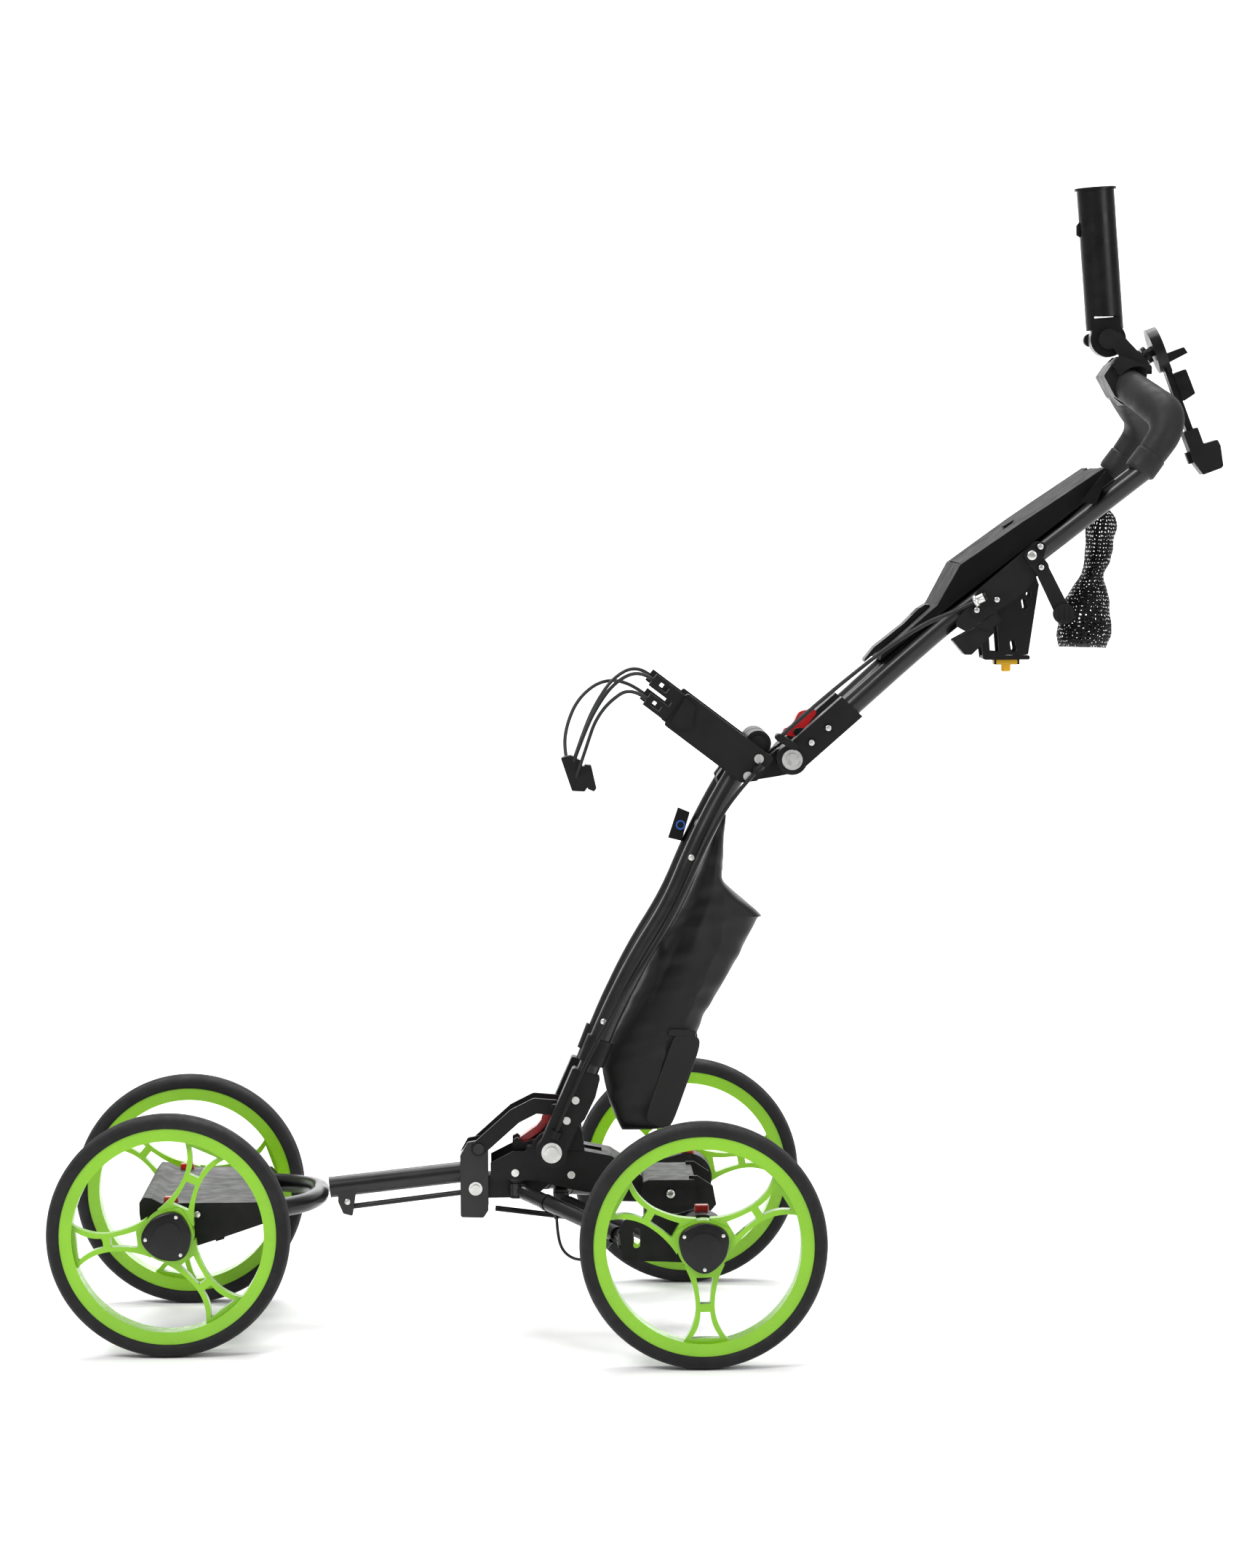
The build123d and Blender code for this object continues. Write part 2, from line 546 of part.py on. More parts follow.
BRACKET_SIDE = (
    (92, 640), (120, 646), (160, 652), (176, 655), (194, 673), (176, 691), (160, 684), (146, 672),
    (124, 672), (100, 668), (88, 652),
)
with BuildPart() as middle_bracket:
    for sign in (-1, 1):
        add(slab(BRACKET_SIDE, sign * 22, sign * 46))
        add(disc(MIDDLE_HINGE, 18, sign * 22, sign * 46))
    add(slab(((94, 644), (120, 648), (128, 650), (128, 670), (100, 666), (90, 652)), -30, 30))
    for sign in (-1, 1):
        add(pipe(flip(LOWER_ROUTE, sign), TUBE_R), mode=Mode.SUBTRACT)
        with BuildSketch(at_y(sign * 34 + 12)):
            with Locations(MIDDLE_HINGE):
                Circle(HINGE_PIN_R)
        extrude(amount=24, mode=Mode.SUBTRACT)
save(middle_bracket, "middle_bracket")

ARM_ROOT, ARM_END = (126.0, 668.0), (40.0, 734.0)
arm_slope = degrees(atan2(ARM_END[1] - ARM_ROOT[1], ARM_END[0] - ARM_ROOT[0]))
arm_along = turned(ARM_ROOT, arm_slope)
ARM_LENGTH = hypot(ARM_END[0] - ARM_ROOT[0], ARM_END[1] - ARM_ROOT[1])
ARM_Y = (72.6, 87.0)
KNOB = (137.0, 692.0)
with BuildPart() as strap_arms:
    for sign in (-1, 1):
        add(slab((arm_along(-18, -23), arm_along(ARM_LENGTH, -23), arm_along(ARM_LENGTH, 23),
                  arm_along(-4, 23), arm_along(-18, 10)), sign * ARM_Y[0], sign * ARM_Y[1], 3))
        with BuildSketch(at_y(sign * 80 + 4.6)):
            with BuildLine():
                Polyline(*[arm_along(a, b) for a, b in ((ARM_LENGTH - 40, -19.5), (ARM_LENGTH + 1, -19.5),
                                                        (ARM_LENGTH + 1, 19.5), (ARM_LENGTH - 40, 19.5))],
                         close=True)
            make_face()
        extrude(amount=9.2, mode=Mode.SUBTRACT)
        add(slab([arm_along(a, b) for a, b in ((80, 6), (92, 17), (104, 15), (108, -18), (92, -16))],
                 sign * ARM_Y[1], sign * (ARM_Y[1] + 4), 1))
        add(disc(KNOB, 15, sign * 4, sign * 66))
        add(disc(KNOB, 9, sign * 60, sign * ARM_Y[0]))
        add(pipe(flip(LOWER_ROUTE, sign), TUBE_R), mode=Mode.SUBTRACT)
    add(disc(KNOB, 11, -5, 5))
    add(disc(MIDDLE_HINGE, 19.5, -60, 60), mode=Mode.SUBTRACT)
    add(gland(cable[-2], cable[-1], 4, 9))
    add(disc(cable[-1][::2], 5, -ARM_Y[1], -ARM_Y[1] - 12), mode=Mode.ADD)
    add(pipe(cable, 2.5), mode=Mode.SUBTRACT)
save(strap_arms, "strap_arms")

# ladder straps: two prongs with windows, out of the mouth of each arm
PRONG_UPPER, PRONG_LOWER = ARM_LENGTH + 42, ARM_LENGTH + 34
PRONG_ACROSS = 11.0
with BuildPart() as strap_adjusters:
    for sign in (-1, 1):
        add(slab([arm_along(a, b) for a, b in ((ARM_LENGTH - 40, -19), (PRONG_UPPER, -19), (PRONG_UPPER, -3),
                                               (ARM_LENGTH + 8, -3), (ARM_LENGTH + 8, 3), (PRONG_LOWER, 3),
                                               (PRONG_LOWER, 19), (ARM_LENGTH - 40, 19))],
                 sign * 76, sign * 84))
        with BuildSketch(at_y(sign * 80 + 5)):
            with Locations(arm_along(ARM_LENGTH + 20, PRONG_ACROSS), arm_along(ARM_LENGTH + 26, -PRONG_ACROSS)):
                Rectangle(12, 7, rotation=arm_slope)
        extrude(amount=10, mode=Mode.SUBTRACT)
save(strap_adjusters, "strap_adjusters")

# elastic strands, from the end of each prong to the hook in the middle
BUNGEE_R = 2.1
LEAD_UPPER, LEAD_LOWER = 18.5, 23.0


def leads(distance, across, lead):
    """A strand's first two points: on the prong's end, and straight out of it."""
    return [(x, 80.0, z) for x, z in (arm_along(distance, across), arm_along(distance + lead, across))]


STRAND_UPPER = leads(PRONG_UPPER, -PRONG_ACROSS, LEAD_UPPER) + [
    (-30, 67, 766), (-52, 47, 735), (-67, 28, 702), (-80.5, 7.7, 664)]
STRAND_LOWER_LEFT = leads(PRONG_LOWER, PRONG_ACROSS, LEAD_LOWER) + [
    (-38, 70, 742), (-54, 56, 719), (-62, 40, 694), (-76, 10, 650)]
STRAND_LOWER_RIGHT = leads(PRONG_LOWER, PRONG_ACROSS, LEAD_LOWER) + [
    (-44, 70, 763), (-72, 54, 742), (-86, 40, 712), (-90, 22, 684), (-85, 5.5, 662)]
STRANDS = {
    "bungee_upper_left": flip(STRAND_UPPER, -1),
    "bungee_lower_left": flip(STRAND_LOWER_LEFT, -1),
    "bungee_upper_right": flip(STRAND_UPPER, 1),
    "bungee_lower_right": flip(STRAND_LOWER_RIGHT, 1),
}
for strand_name, strand_route in STRANDS.items():
    with BuildPart() as strand:
        add(cord(strand_name, strand_route, BUNGEE_R))
    save(strand, strand_name)

HOOK_BLOCK = ((-94, 674), (-82, 677), (-71, 671), (-62, 640), (-66, 634), (-81, 635))
HOOK_BACK = ((-66, 666), (-58, 665), (-52, 638), (-55, 634), (-62, 637), (-65, 645))
with BuildPart() as bungee_hook:
    add(slab(HOOK_BLOCK, -13, 13, 2))
    add(slab(HOOK_BACK, -13, 13, 1))
    add(slab(((-73, 664), (-60, 664), (-63, 652), (-70, 652)), -13, 13))
    for strand_route in STRANDS.values():
        add(pipe(strand_route, BUNGEE_R), mode=Mode.SUBTRACT)
save(bungee_hook, "bungee_hook")

# ---------------------------------------------------------------- small pieces on the lower frame
with BuildPart() as frame_clips:
    for sign in (-1, 1):
        clip_route = flip([(-62, 61.1, 318.1), (-50, 62.3, 348.3)], sign)
        with BuildSketch(Plane(origin=clip_route[0], z_dir=(Vector(*clip_route[1]) - Vector(*clip_route[0])))):
            Circle(16)
            Circle(TUBE_R + 0.1, mode=Mode.SUBTRACT)
        extrude(amount=31)
    add(slab(((34, 574), (46, 610), (60, 604), (50, 570)), 56, 66), mode=Mode.ADD)
    add(pipe(flip(LOWER_ROUTE, 1), TUBE_R + 0.1), mode=Mode.SUBTRACT)
save(frame_clips, "frame_clips")

BAG_SIDE = (
    (-46, 325), (-25, 366), (9, 437), (22, 460), (50, 505), (77, 568), (84, 590), (94, 608), (102, 606),
    (98, 560), (98, 522), (142, 487), (108, 422), (82, 383), (76, 345), (35, 232), (0, 228), (-24, 228),
    (-38, 262), (-46, 290),
)
with BuildPart() as storage_bag:
    add(slab(BAG_SIDE, -44, 44, 2))
save(storage_bag, "storage_bag")

with BuildPart() as brake_cable_lower:
    add(cord("brake_cable_lower", flip(LOWER_CABLE, -1), 2.5))
save(brake_cable_lower, "brake_cable_lower")

with BuildPart() as lower_fasteners:
    add(hinge_bolt(MIDDLE_HINGE, SLEEVE_Y[1] + 0.4, HINGE_PIN_R))
    for sign in (-1, 1):
        for spot in (arm_along(-4, -12), arm_along(-6, 12)):
            add(disc(spot, 5.5, sign * ARM_Y[1], sign * (ARM_Y[1] + 4)))
        for distance in SCREW_DISTANCES:
            add(disc(lower_along(distance, -1), 4.5, sign * SLEEVE_Y[1], sign * (SLEEVE_Y[1] + 3)))
save(lower_fasteners, "lower_fasteners")

with BuildPart() as lower_lock_lever:
    add(capsule(LOWER_LOCK_PIN, (-114, 247), 6, 6.5, -15, 15))
    add(capsule((-114, 247), (-124, 235), 4, 4, -12, 12))
    add(capsule((-124, 235), (-143, 222), 4, 4, -12, 12))
    with BuildSketch(at_y(15)):
        with Locations(LOWER_LOCK_PIN):
            Circle(3 + RUN)
    extrude(amount=30, mode=Mode.SUBTRACT)
save(lower_lock_lever, "lower_lock_lever")

# ---------------------------------------------------------------- upper frame
along = turned((349.0, 826.0), UPPER_SLOPE)     # distances along and above the upper tubes' axes
upper_plane = Plane(origin=(349.0, 0.0, 826.0), x_dir=(cos(radians(UPPER_SLOPE)), 0, sin(radians(UPPER_SLOPE))),
                    z_dir=(0, -1, 0))
UPPER_ROUTE = [
    (201, 60.5, 695), (248, 60.5, 736), (304, 66, 786), (355, 75.5, 830.7), (450, 100, 905), (582, 133, 1008),
]


def tube_y(distance):
    """Half the spacing of the upper tubes at a distance along their slope."""
    return 74.5 + distance * 58.5 / 295.6


with BuildPart() as upper_tubes:
    for sign in (-1, 1):
        add(pipe(flip(UPPER_ROUTE, sign), TUBE_R, TUBE_R - TUBE_WALL))
    for distance, radius in ((125, 7), (240, 5)):
        add(disc(along(distance, 0), radius, -tube_y(distance) + 4, tube_y(distance) - 4))
save(upper_tubes, "upper_tubes")

MIDDLE_LOCK_PIN = upper_along(26, 18)
UPPER_CABLE = [
    (160, 95, 700), (196, 93, 732), (240, 92, 768), (286, 97, 804), (330, 106, 832), (364, 117, 846),
    (386, 121.5, 857),
]
with BuildPart() as upper_sleeves:
    for sign in (-1, 1):
        inner, outer = sign * SLEEVE_Y[0], sign * SLEEVE_Y[1]
        add(disc(MIDDLE_HINGE, 18, inner, outer))
        add(slab((upper_along(0, 16.5), upper_along(92, 16.5), upper_along(95, -16.5), upper_along(0, -16.5)),
                 inner, outer))
        add(pipe(flip(UPPER_ROUTE, sign), TUBE_R), mode=Mode.SUBTRACT)
        with BuildSketch(at_y(max(inner, outer))):
            with Locations(MIDDLE_HINGE):
                Circle(HINGE_PIN_R + RUN)
        extrude(amount=abs(outer - inner), mode=Mode.SUBTRACT)
        for distance in (30, 56):
            add(disc(upper_along(distance, 0), 4.5, outer, sign * (SLEEVE_Y[1] + 3)))
    add(disc(MIDDLE_LOCK_PIN, 3, -SLEEVE_Y[0], SLEEVE_Y[0]))
    for sign in (-1, 1):
        add(capsule(MIDDLE_LOCK_PIN, upper_along(34, 10), 5, 6, sign * SLEEVE_Y[0], sign * (SLEEVE_Y[0] + 2)))
    add(capsule(upper_along(12, 11), UPPER_CABLE[0][::2], 4, 4.5, -SLEEVE_Y[1] + 6, -98))
    add(pipe(flip(UPPER_CABLE, -1), 2.5), mode=Mode.SUBTRACT)
save(upper_sleeves, "upper_sleeves")

with BuildPart() as middle_lock_lever:
    add(capsule(MIDDLE_LOCK_PIN, (193, 719), 7, 8.5, -13, 13))
    add(capsule((193, 719), (203, 725), 8.5, 4.5, -13, 13))
    add(capsule(MIDDLE_LOCK_PIN, (173, 703), 7, 4.5, -13, 13))
    with BuildSketch(at_y(13)):
        with Locations(MIDDLE_LOCK_PIN):
            Circle(3 + RUN)
    extrude(amount=26, mode=Mode.SUBTRACT)
save(middle_lock_lever, "middle_lock_lever")


def tapered_width(low_along, high_along, low_half, high_half, low_across, high_across):
    """A wedge in plan, as wide as the tubes are apart, to cut covers to shape."""
    with BuildPart() as piece:
        for distance, half in ((low_along, low_half), (high_along, high_half)):
            x, z = along(distance, low_across)
            with BuildSketch(Plane(origin=(x, 0, z), x_dir=(0, 1, 0),
                                   z_dir=(cos(radians(UPPER_SLOPE)), 0, sin(radians(UPPER_SLOPE))))):
                Rectangle(2 * half, high_across - low_across, align=(Align.CENTER, Align.MIN))
        loft(ruled=True)
    return piece.part


COVER = (
    (-78, 13.2), (-72, 18), (13, 23), (63, 44), (150, 39), (262, 30), (262, 13.2),
)
LID_FROM, LID_TO = 66.0, 256.0
LID_HINGE = along(262, 24)
with BuildPart() as console_tray:
    add(slab([along(a, b) for a, b in COVER], -124, 124))
    add(tapered_width(-90, 270, 68, 142, 5, 60), mode=Mode.INTERSECT)
    add(slab([along(a, b) for a, b in ((72, 17), (72, 39.6), (150, 35.2), (250, 27.2), (250, 17))], -62, 62),
        mode=Mode.SUBTRACT)
    add(slab([along(a, b) for a, b in ((64, 39.8), (64, 60), (262, 60), (262, 26.2), (150, 35.2))], -66, 66),
        mode=Mode.SUBTRACT)
    # drooping wing over each tube at the top end
    for sign in (-1, 1):
        add(slab([along(a, b) for a, b in ((259, 27.5), (244, 14), (226, 4), (214, 17))],
                 sign * 139.5, sign * 142))
        add(slab([along(a, b) for a, b in ((222, 13.3), (244, 13.3), (244, 17), (222, 17))],
                 sign * 110, sign * 142))
        add(pipe(flip(UPPER_ROUTE, sign), TUBE_R), mode=Mode.SUBTRACT)
    # room for the lid's knuckle, and the pins it turns on
    add(slab([along(a, b) for a, b in ((252, 26), (252, 60), (275, 60), (275, 17), (257, 17))], -66, 66),
        mode=Mode.SUBTRACT)
    for sign in (-1, 1):
        add(disc(LID_HINGE, 3, sign * 58, sign * 70))
save(console_tray, "console_tray")

with BuildPart() as console_lid:
    add(slab([along(a, b) for a, b in ((LID_FROM, 40), (LID_FROM, 43.5), (150, 39), (LID_TO, 30.5),
                                       (LID_TO, 27), (150, 35.5))], -65, 65))
    add(slab([along(a, b) for a, b in ((138, 37), (134, 44), (110, 34 + 8), (112, 45), (150, 41))], -14, 14))
    add(disc(LID_HINGE, 4.2, -65, 65))
    add(slab([along(a, b) for a, b in ((LID_TO - 1, 27), (LID_TO - 1, 30.5), (262, 28.2), (262, 21))], -65, 65))
    for sign in (-1, 1):
        add(disc(LID_HINGE, 3 + RUN, sign * 57.5, sign * 66), mode=Mode.SUBTRACT)
save(console_lid, "console_lid")

PAD = ((-92, 19.2), (-90, 22), (-72, 26), (-29, 26), (-4, 29), (6, 28), (10, 24.5), (8, 23.4))
with BuildPart() as cradle_pad:
    add(slab([along(a, b) for a, b in PAD], -21, 21))
    with BuildSketch(Plane(origin=(along(-8, 24)[0], 0, along(-8, 24)[1]), x_dir=(0, 1, 0),
                           z_dir=(-sin(radians(UPPER_SLOPE)), 0, cos(radians(UPPER_SLOPE))))):
        with GridLocations(9, 1, 4, 1):
            Rectangle(4, 12)
    extrude(amount=10, mode=Mode.SUBTRACT)
save(cradle_pad, "cradle_pad")

BRACKET_Y = (-118.0, -113.2)
BRAKE_PLATE = ((12.7, -4.9), (18.8, -19.8), (98.7, -26.4), (123.6, -20.4), (156.9, 1.8), (147, 12.8), (63.6, 9.9))
BRAKE_PIVOT = along(132.9, 2.8)
with BuildPart() as brake_bracket:
    add(slab([along(a, b) for a, b in BRAKE_PLATE], *BRACKET_Y, 6))
    for distance in (30, 62, 150):
        add(disc(along(distance, 0), 5, BRACKET_Y[1], -tube_y(distance) - 8))
    add(slab(((361, 812), (375, 795), (383, 795), (411, 822), (402, 834)), -113.2, -72, 2))
    add(slab([along(a, b) for a, b in ((30, -22), (60, -24), (60, -36), (42, -36))], -116, -100))
    for distance, across in ((147.3, 4.2), (40, -8), (50, -3)):
        add(disc(along(distance, across), 4, BRACKET_Y[0], BRACKET_Y[0] - 3))
    cable = flip(UPPER_CABLE, -1)
    add(gland(cable[-2], cable[-1], 5, 16))
    add(disc(cable[-1][::2], 4, BRACKET_Y[0], BRACKET_Y[0] - 4))
    add(pipe(cable, 2.5), mode=Mode.SUBTRACT)
    add(pipe(flip(UPPER_ROUTE, -1), TUBE_R), mode=Mode.SUBTRACT)
    with BuildSketch(at_y(BRACKET_Y[1])):
        with Locations(BRAKE_PIVOT):
            Circle(4)
    extrude(amount=BRACKET_Y[1] - BRACKET_Y[0], mode=Mode.SUBTRACT)
    add(disc(BRAKE_PIVOT, 4, BRACKET_Y[1] - 0.2, -124.6))
    add(disc(BRAKE_PIVOT, 8, -124.6, -128))
save(brake_bracket, "brake_bracket")

LEVER_KNEE, LEVER_END = (463.0, 896.0), (489.0, 842.0)
with BuildPart() as brake_lever:
    add(capsule(BRAKE_PIVOT, LEVER_KNEE, 9, 9, -124.2, -118.4))
    add(capsule(LEVER_KNEE, LEVER_END, 8, 9, -124.2, -119.0))
    add(disc(LEVER_END, 12, -128, -115))
    with BuildSketch(at_y(-127)):
        with Locations(*[(LEVER_END[0] + step, LEVER_END[1]) for step in (-6, 0, 6)]):
            Rectangle(2.6, 14)
    extrude(amount=2, mode=Mode.SUBTRACT)
    with BuildSketch(at_y(-118)):
        with Locations(BRAKE_PIVOT):
            Circle(4 + RUN)
    extrude(amount=7, mode=Mode.SUBTRACT)
    add(disc((LEVER_KNEE[0], LEVER_KNEE[1]), 4, -124.2, -127))
save(brake_lever, "brake_lever")

with BuildPart() as brake_cable_upper:
    add(cord("brake_cable_upper", flip(UPPER_CABLE, -1), 2.5))
save(brake_cable_upper, "brake_cable_upper")

CUP_HINGE = along(125, 0)
with BuildPart() as cup_holder:
    for sign in (-1, 1):
        add(slab(((436, 896), (419, 845), (423, 792), (457, 792), (470, 874), (458, 908), (447, 914)),
                 sign * 25, sign * 28))
        add(slab(((419, 838), (408, 832), (401, 812), (404, 787), (424, 787), (424, 795), (412, 796),
                  (411, 812), (415, 826), (420, 828)), sign * 25, sign * 28))
        add(disc(CUP_HINGE, 12, sign * 20, sign * 28))
    add(slab(((405, 786), (405, 791), (459, 791), (459, 786)), -28, 28, 2))
    # spring clip under the holder's floor
    add(slab(((418, 780), (418, 786), (448, 786), (448, 780)), -15, 15))
    add(slab(((428, 772), (428, 781), (438, 781), (438, 772)), -5, 5))
    with BuildSketch(at_y(28)):
        with Locations((458, 863)):
            Circle(3.4)
        with Locations((453, 851), (439.5, 802)):
            SlotOverall(14, 6.5, rotation=100)
    extrude(amount=56, mode=Mode.SUBTRACT)
    with BuildSketch(at_y(28)):
        with Locations(CUP_HINGE):
            Circle(7 + RUN)
    extrude(amount=56, mode=Mode.SUBTRACT)
save(cup_holder, "cup_holder")

NET_SIDE = (
    (540, 968), (553, 966), (562, 950), (566, 930), (560, 904), (548, 888), (556, 850), (558, 818), (550, 792),
    (524, 796), (500, 791), (491, 812), (496, 850), (510, 905), (520, 930),
)
with BuildPart() as net_bag:
    add(slab(NET_SIDE, -40, 40, 3))
    with BuildSketch(at_y(40)):
        with Locations(along(240, 0)):
            Circle(6)
    extrude(amount=80, mode=Mode.SUBTRACT)
save(net_bag, "net_bag")

# ---------------------------------------------------------------- handle
GRIP_ROUTE = [
    (578, 135, 1009), (592, 134, 1028), (606, 130, 1050), (608, 114, 1071), (596, 92, 1085), (583, 60, 1098),
    (574, 20, 1108),
]
GRIP_RADII = (17.5, 17.5, 19, 22, 21, 20, 20)
with BuildPart() as handle_grip:
    for sign in (-1, 1):
        spots = [Vector(*p) for p in flip(GRIP_ROUTE, sign)]
        ways = [b - a for a, b in zip([spots[0]] + spots[:-1], spots[1:] + [spots[-1]])]
        for spot, way, radius in zip(spots, ways, GRIP_RADII):
            with BuildSketch(Plane(origin=spot, z_dir=way.normalized())):
                Circle(radius)
        loft()
    with BuildSketch(at_y(26)):
        with Locations((573, 1110)):
            Circle(20)
    extrude(amount=52)
    for sign in (-1, 1):
        add(pipe(flip(UPPER_ROUTE, sign), TUBE_R), mode=Mode.SUBTRACT)
save(handle_grip, "handle_grip")

UMBRELLA_PIVOT = (554.0, 1161.5)
UMBRELLA_FOOT, UMBRELLA_TOP = (550.4, 0.0, 1187.0), (540.4, 0.0, 1339.7)
UMBRELLA_R, UMBRELLA_BORE, UMBRELLA_FLANGE = 22.1, 19.0, 24.7
UMBRELLA_DISC_HALF = 14.0
HOLDER_SLOPE = 37.0                 # slope of the phone holder's stem
stem_way = Vector(cos(radians(HOLDER_SLOPE)), 0, sin(radians(HOLDER_SLOPE)))
stem_at = Vector(598, 0, 1141)
CONSOLE_SIDE = ((545, 1118), (554, 1131), (566, 1142), (586, 1133), (600, 1129), (598, 1112), (582, 1084),
                (570, 1084), (558, 1094))
with BuildPart() as handle_console:
    add(slab(CONSOLE_SIDE, -46, 46, 3))
    with BuildSketch(at_y(-42)):
        with Locations((558, 1121)):
            SlotOverall(17, 5, rotation=125)
    extrude(amount=6, mode=Mode.SUBTRACT)
    add(slab(((583, 1120), (604, 1120), (604, 1129), (566, 1170), (551, 1160)), -26, -15.2))
    add(disc(UMBRELLA_PIVOT, 12, -26, -15.2))
    add(rod(stem_at - stem_way * 22, stem_at - stem_way, 11))
    add(handle_grip.part, mode=Mode.SUBTRACT)
    add(disc(UMBRELLA_PIVOT, 26.5, 14.6, 45), mode=Mode.SUBTRACT)
    add(disc(UMBRELLA_PIVOT, 22, -15, 15), mode=Mode.SUBTRACT)
    add(disc(UMBRELLA_PIVOT, 4, -16, 30))
    with BuildSketch(Plane(origin=stem_at - stem_way * 12, z_dir=stem_way)):
        Circle(6 + RUN)
    extrude(amount=14, mode=Mode.SUBTRACT)
save(handle_console, "handle_console")

foot, top = Vector(*UMBRELLA_FOOT), Vector(*UMBRELLA_TOP)
tube_way = (top - foot).normalized()
with BuildPart() as umbrella_tube:
    add(disc(UMBRELLA_PIVOT, 21, -UMBRELLA_DISC_HALF, UMBRELLA_DISC_HALF))
    add(rod(foot - tube_way * 14, top, UMBRELLA_R))
    add(rod(top - tube_way * 3, top, UMBRELLA_FLANGE))
    add(slab(((518, 1284), (518, 1295), (521, 1299), (524, 1299), (524, 1280)), -4, 4))
    with BuildSketch(Plane(origin=foot, z_dir=tube_way)):
        Circle(UMBRELLA_BORE)
    extrude(amount=(top - foot).length, mode=Mode.SUBTRACT)
    with BuildSketch(at_y(UMBRELLA_DISC_HALF)):
        with Locations(UMBRELLA_PIVOT):
            Circle(4 + RUN)
    extrude(amount=2 * UMBRELLA_DISC_HALF, mode=Mode.SUBTRACT)
    # flats that keep the round tube clear of the fork beside it
    for sign in (-1, 1):
        with BuildSketch(at_y(sign * 24 + 10)):
            with Locations((554, 1161)):
                Rectangle(60, 56)
        extrude(amount=20, mode=Mode.SUBTRACT)
save(umbrella_tube, "umbrella_tube")

with BuildPart() as wing_knob:
    add(capsule((UMBRELLA_PIVOT[0] - 17, UMBRELLA_PIVOT[1]), (UMBRELLA_PIVOT[0] + 17, UMBRELLA_PIVOT[1]), 8, 8,
                20, 34))
    add(disc(UMBRELLA_PIVOT, 13, 15, 34))
    with BuildSketch(at_y(31)):
        with Locations(UMBRELLA_PIVOT):
            Circle(4 + RUN)
    extrude(amount=20, mode=Mode.SUBTRACT)
save(wing_knob, "wing_knob")

phone_slope = -70.0
phone_along = turned((625.0, 1124.0), phone_slope)   # distances down the bar and out of its face
bar_way = Vector(cos(radians(phone_slope)), 0, sin(radians(phone_slope)))
face_way = Vector(-sin(radians(phone_slope)), 0, cos(radians(phone_slope)))
BAR_HALF, BAR_THICK, BAR_LENGTH = 11.0, 4.0, 104.0
with BuildPart() as phone_arm:
    add(rod(stem_at - stem_way * 11.5, stem_at + stem_way * 12, 6))
    add(rod(stem_at + stem_way * 0.5, stem_at + stem_way * 6, 11))
    add(rod(Vector(607, 0, 1146.5), Vector(607, 0, 1146.5) + face_way * 13, 27))
    add(slab([phone_along(a, b) for a, b in ((-14, -BAR_THICK), (BAR_LENGTH, -BAR_THICK),
                                             (BAR_LENGTH, BAR_THICK), (-14, BAR_THICK))], -BAR_HALF, BAR_HALF))
    add(slab([phone_along(a, b) for a, b in ((-20, -2), (-20, 26), (-12, 28), (-9, 4), (2, 4), (2, -2))], -18, 18))
    add(slab([phone_along(a, b) for a, b in ((5, 3.5), (5, 20), (36, 20.5), (40, 3.5))], -14, 14, 2))
save(phone_arm, "phone_arm")

with BuildPart() as phone_jaw:
    add(slab([phone_along(a, b) for a, b in ((74, -9), (74, 9), (95, 9), (96, 26), (104, 27), (127, 22), (129, 19),
                                             (129, -4), (112, -9))], -17, 17, 1.5))
    with BuildSketch(Plane(origin=Vector(625, 0, 1124) + bar_way * 68, x_dir=(0, 1, 0), z_dir=bar_way)):
        Rectangle(2 * BAR_HALF + 2 * GAP, 2 * BAR_THICK + 2 * GAP)
    extrude(amount=50, mode=Mode.SUBTRACT)
    add(slab([phone_along(a, b) for a, b in ((98, -8.9), (98, -14), (112, -14), (112, -8.9))], -6, 6))
save(phone_jaw, "phone_jaw")
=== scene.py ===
"""Golf push trolley: the looks of every piece, laid out as an add-on and run as a script.

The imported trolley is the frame: every new surface rides on one of its bodies. Metres, +Z up, the trolley
rolls towards -X and its left side, which faces the camera, is -Y.
"""

import json

import bpy
import numpy as np
from mathutils import Matrix, Vector


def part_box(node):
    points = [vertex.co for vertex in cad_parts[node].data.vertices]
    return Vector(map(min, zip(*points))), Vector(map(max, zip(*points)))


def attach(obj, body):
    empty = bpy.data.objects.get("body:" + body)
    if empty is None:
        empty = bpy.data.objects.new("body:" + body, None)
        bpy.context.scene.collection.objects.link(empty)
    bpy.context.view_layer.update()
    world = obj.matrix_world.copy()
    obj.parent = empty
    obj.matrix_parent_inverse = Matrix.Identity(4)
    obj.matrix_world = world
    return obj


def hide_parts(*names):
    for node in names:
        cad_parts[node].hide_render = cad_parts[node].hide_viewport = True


bl_info = {
    "name": "Golf push trolley",
    "version": (1, 0, 0),
    "blender": (4, 5, 0),
    "location": "3D View > Sidebar > Trolley",
    "description": "Builds the looks of a folding golf push trolley around its packed frame",
    "category": "Object",
}

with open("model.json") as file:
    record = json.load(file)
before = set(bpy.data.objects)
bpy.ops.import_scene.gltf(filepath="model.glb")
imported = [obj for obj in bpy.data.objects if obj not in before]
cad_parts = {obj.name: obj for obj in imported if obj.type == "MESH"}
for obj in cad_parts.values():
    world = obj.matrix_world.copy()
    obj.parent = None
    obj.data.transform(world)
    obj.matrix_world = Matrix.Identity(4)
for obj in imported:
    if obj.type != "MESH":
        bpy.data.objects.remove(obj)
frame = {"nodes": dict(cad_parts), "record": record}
NODES = frame["nodes"]
MM = 0.001
WHEELS = tuple((end, side) for end in ("front", "rear") for side in ("left", "right"))


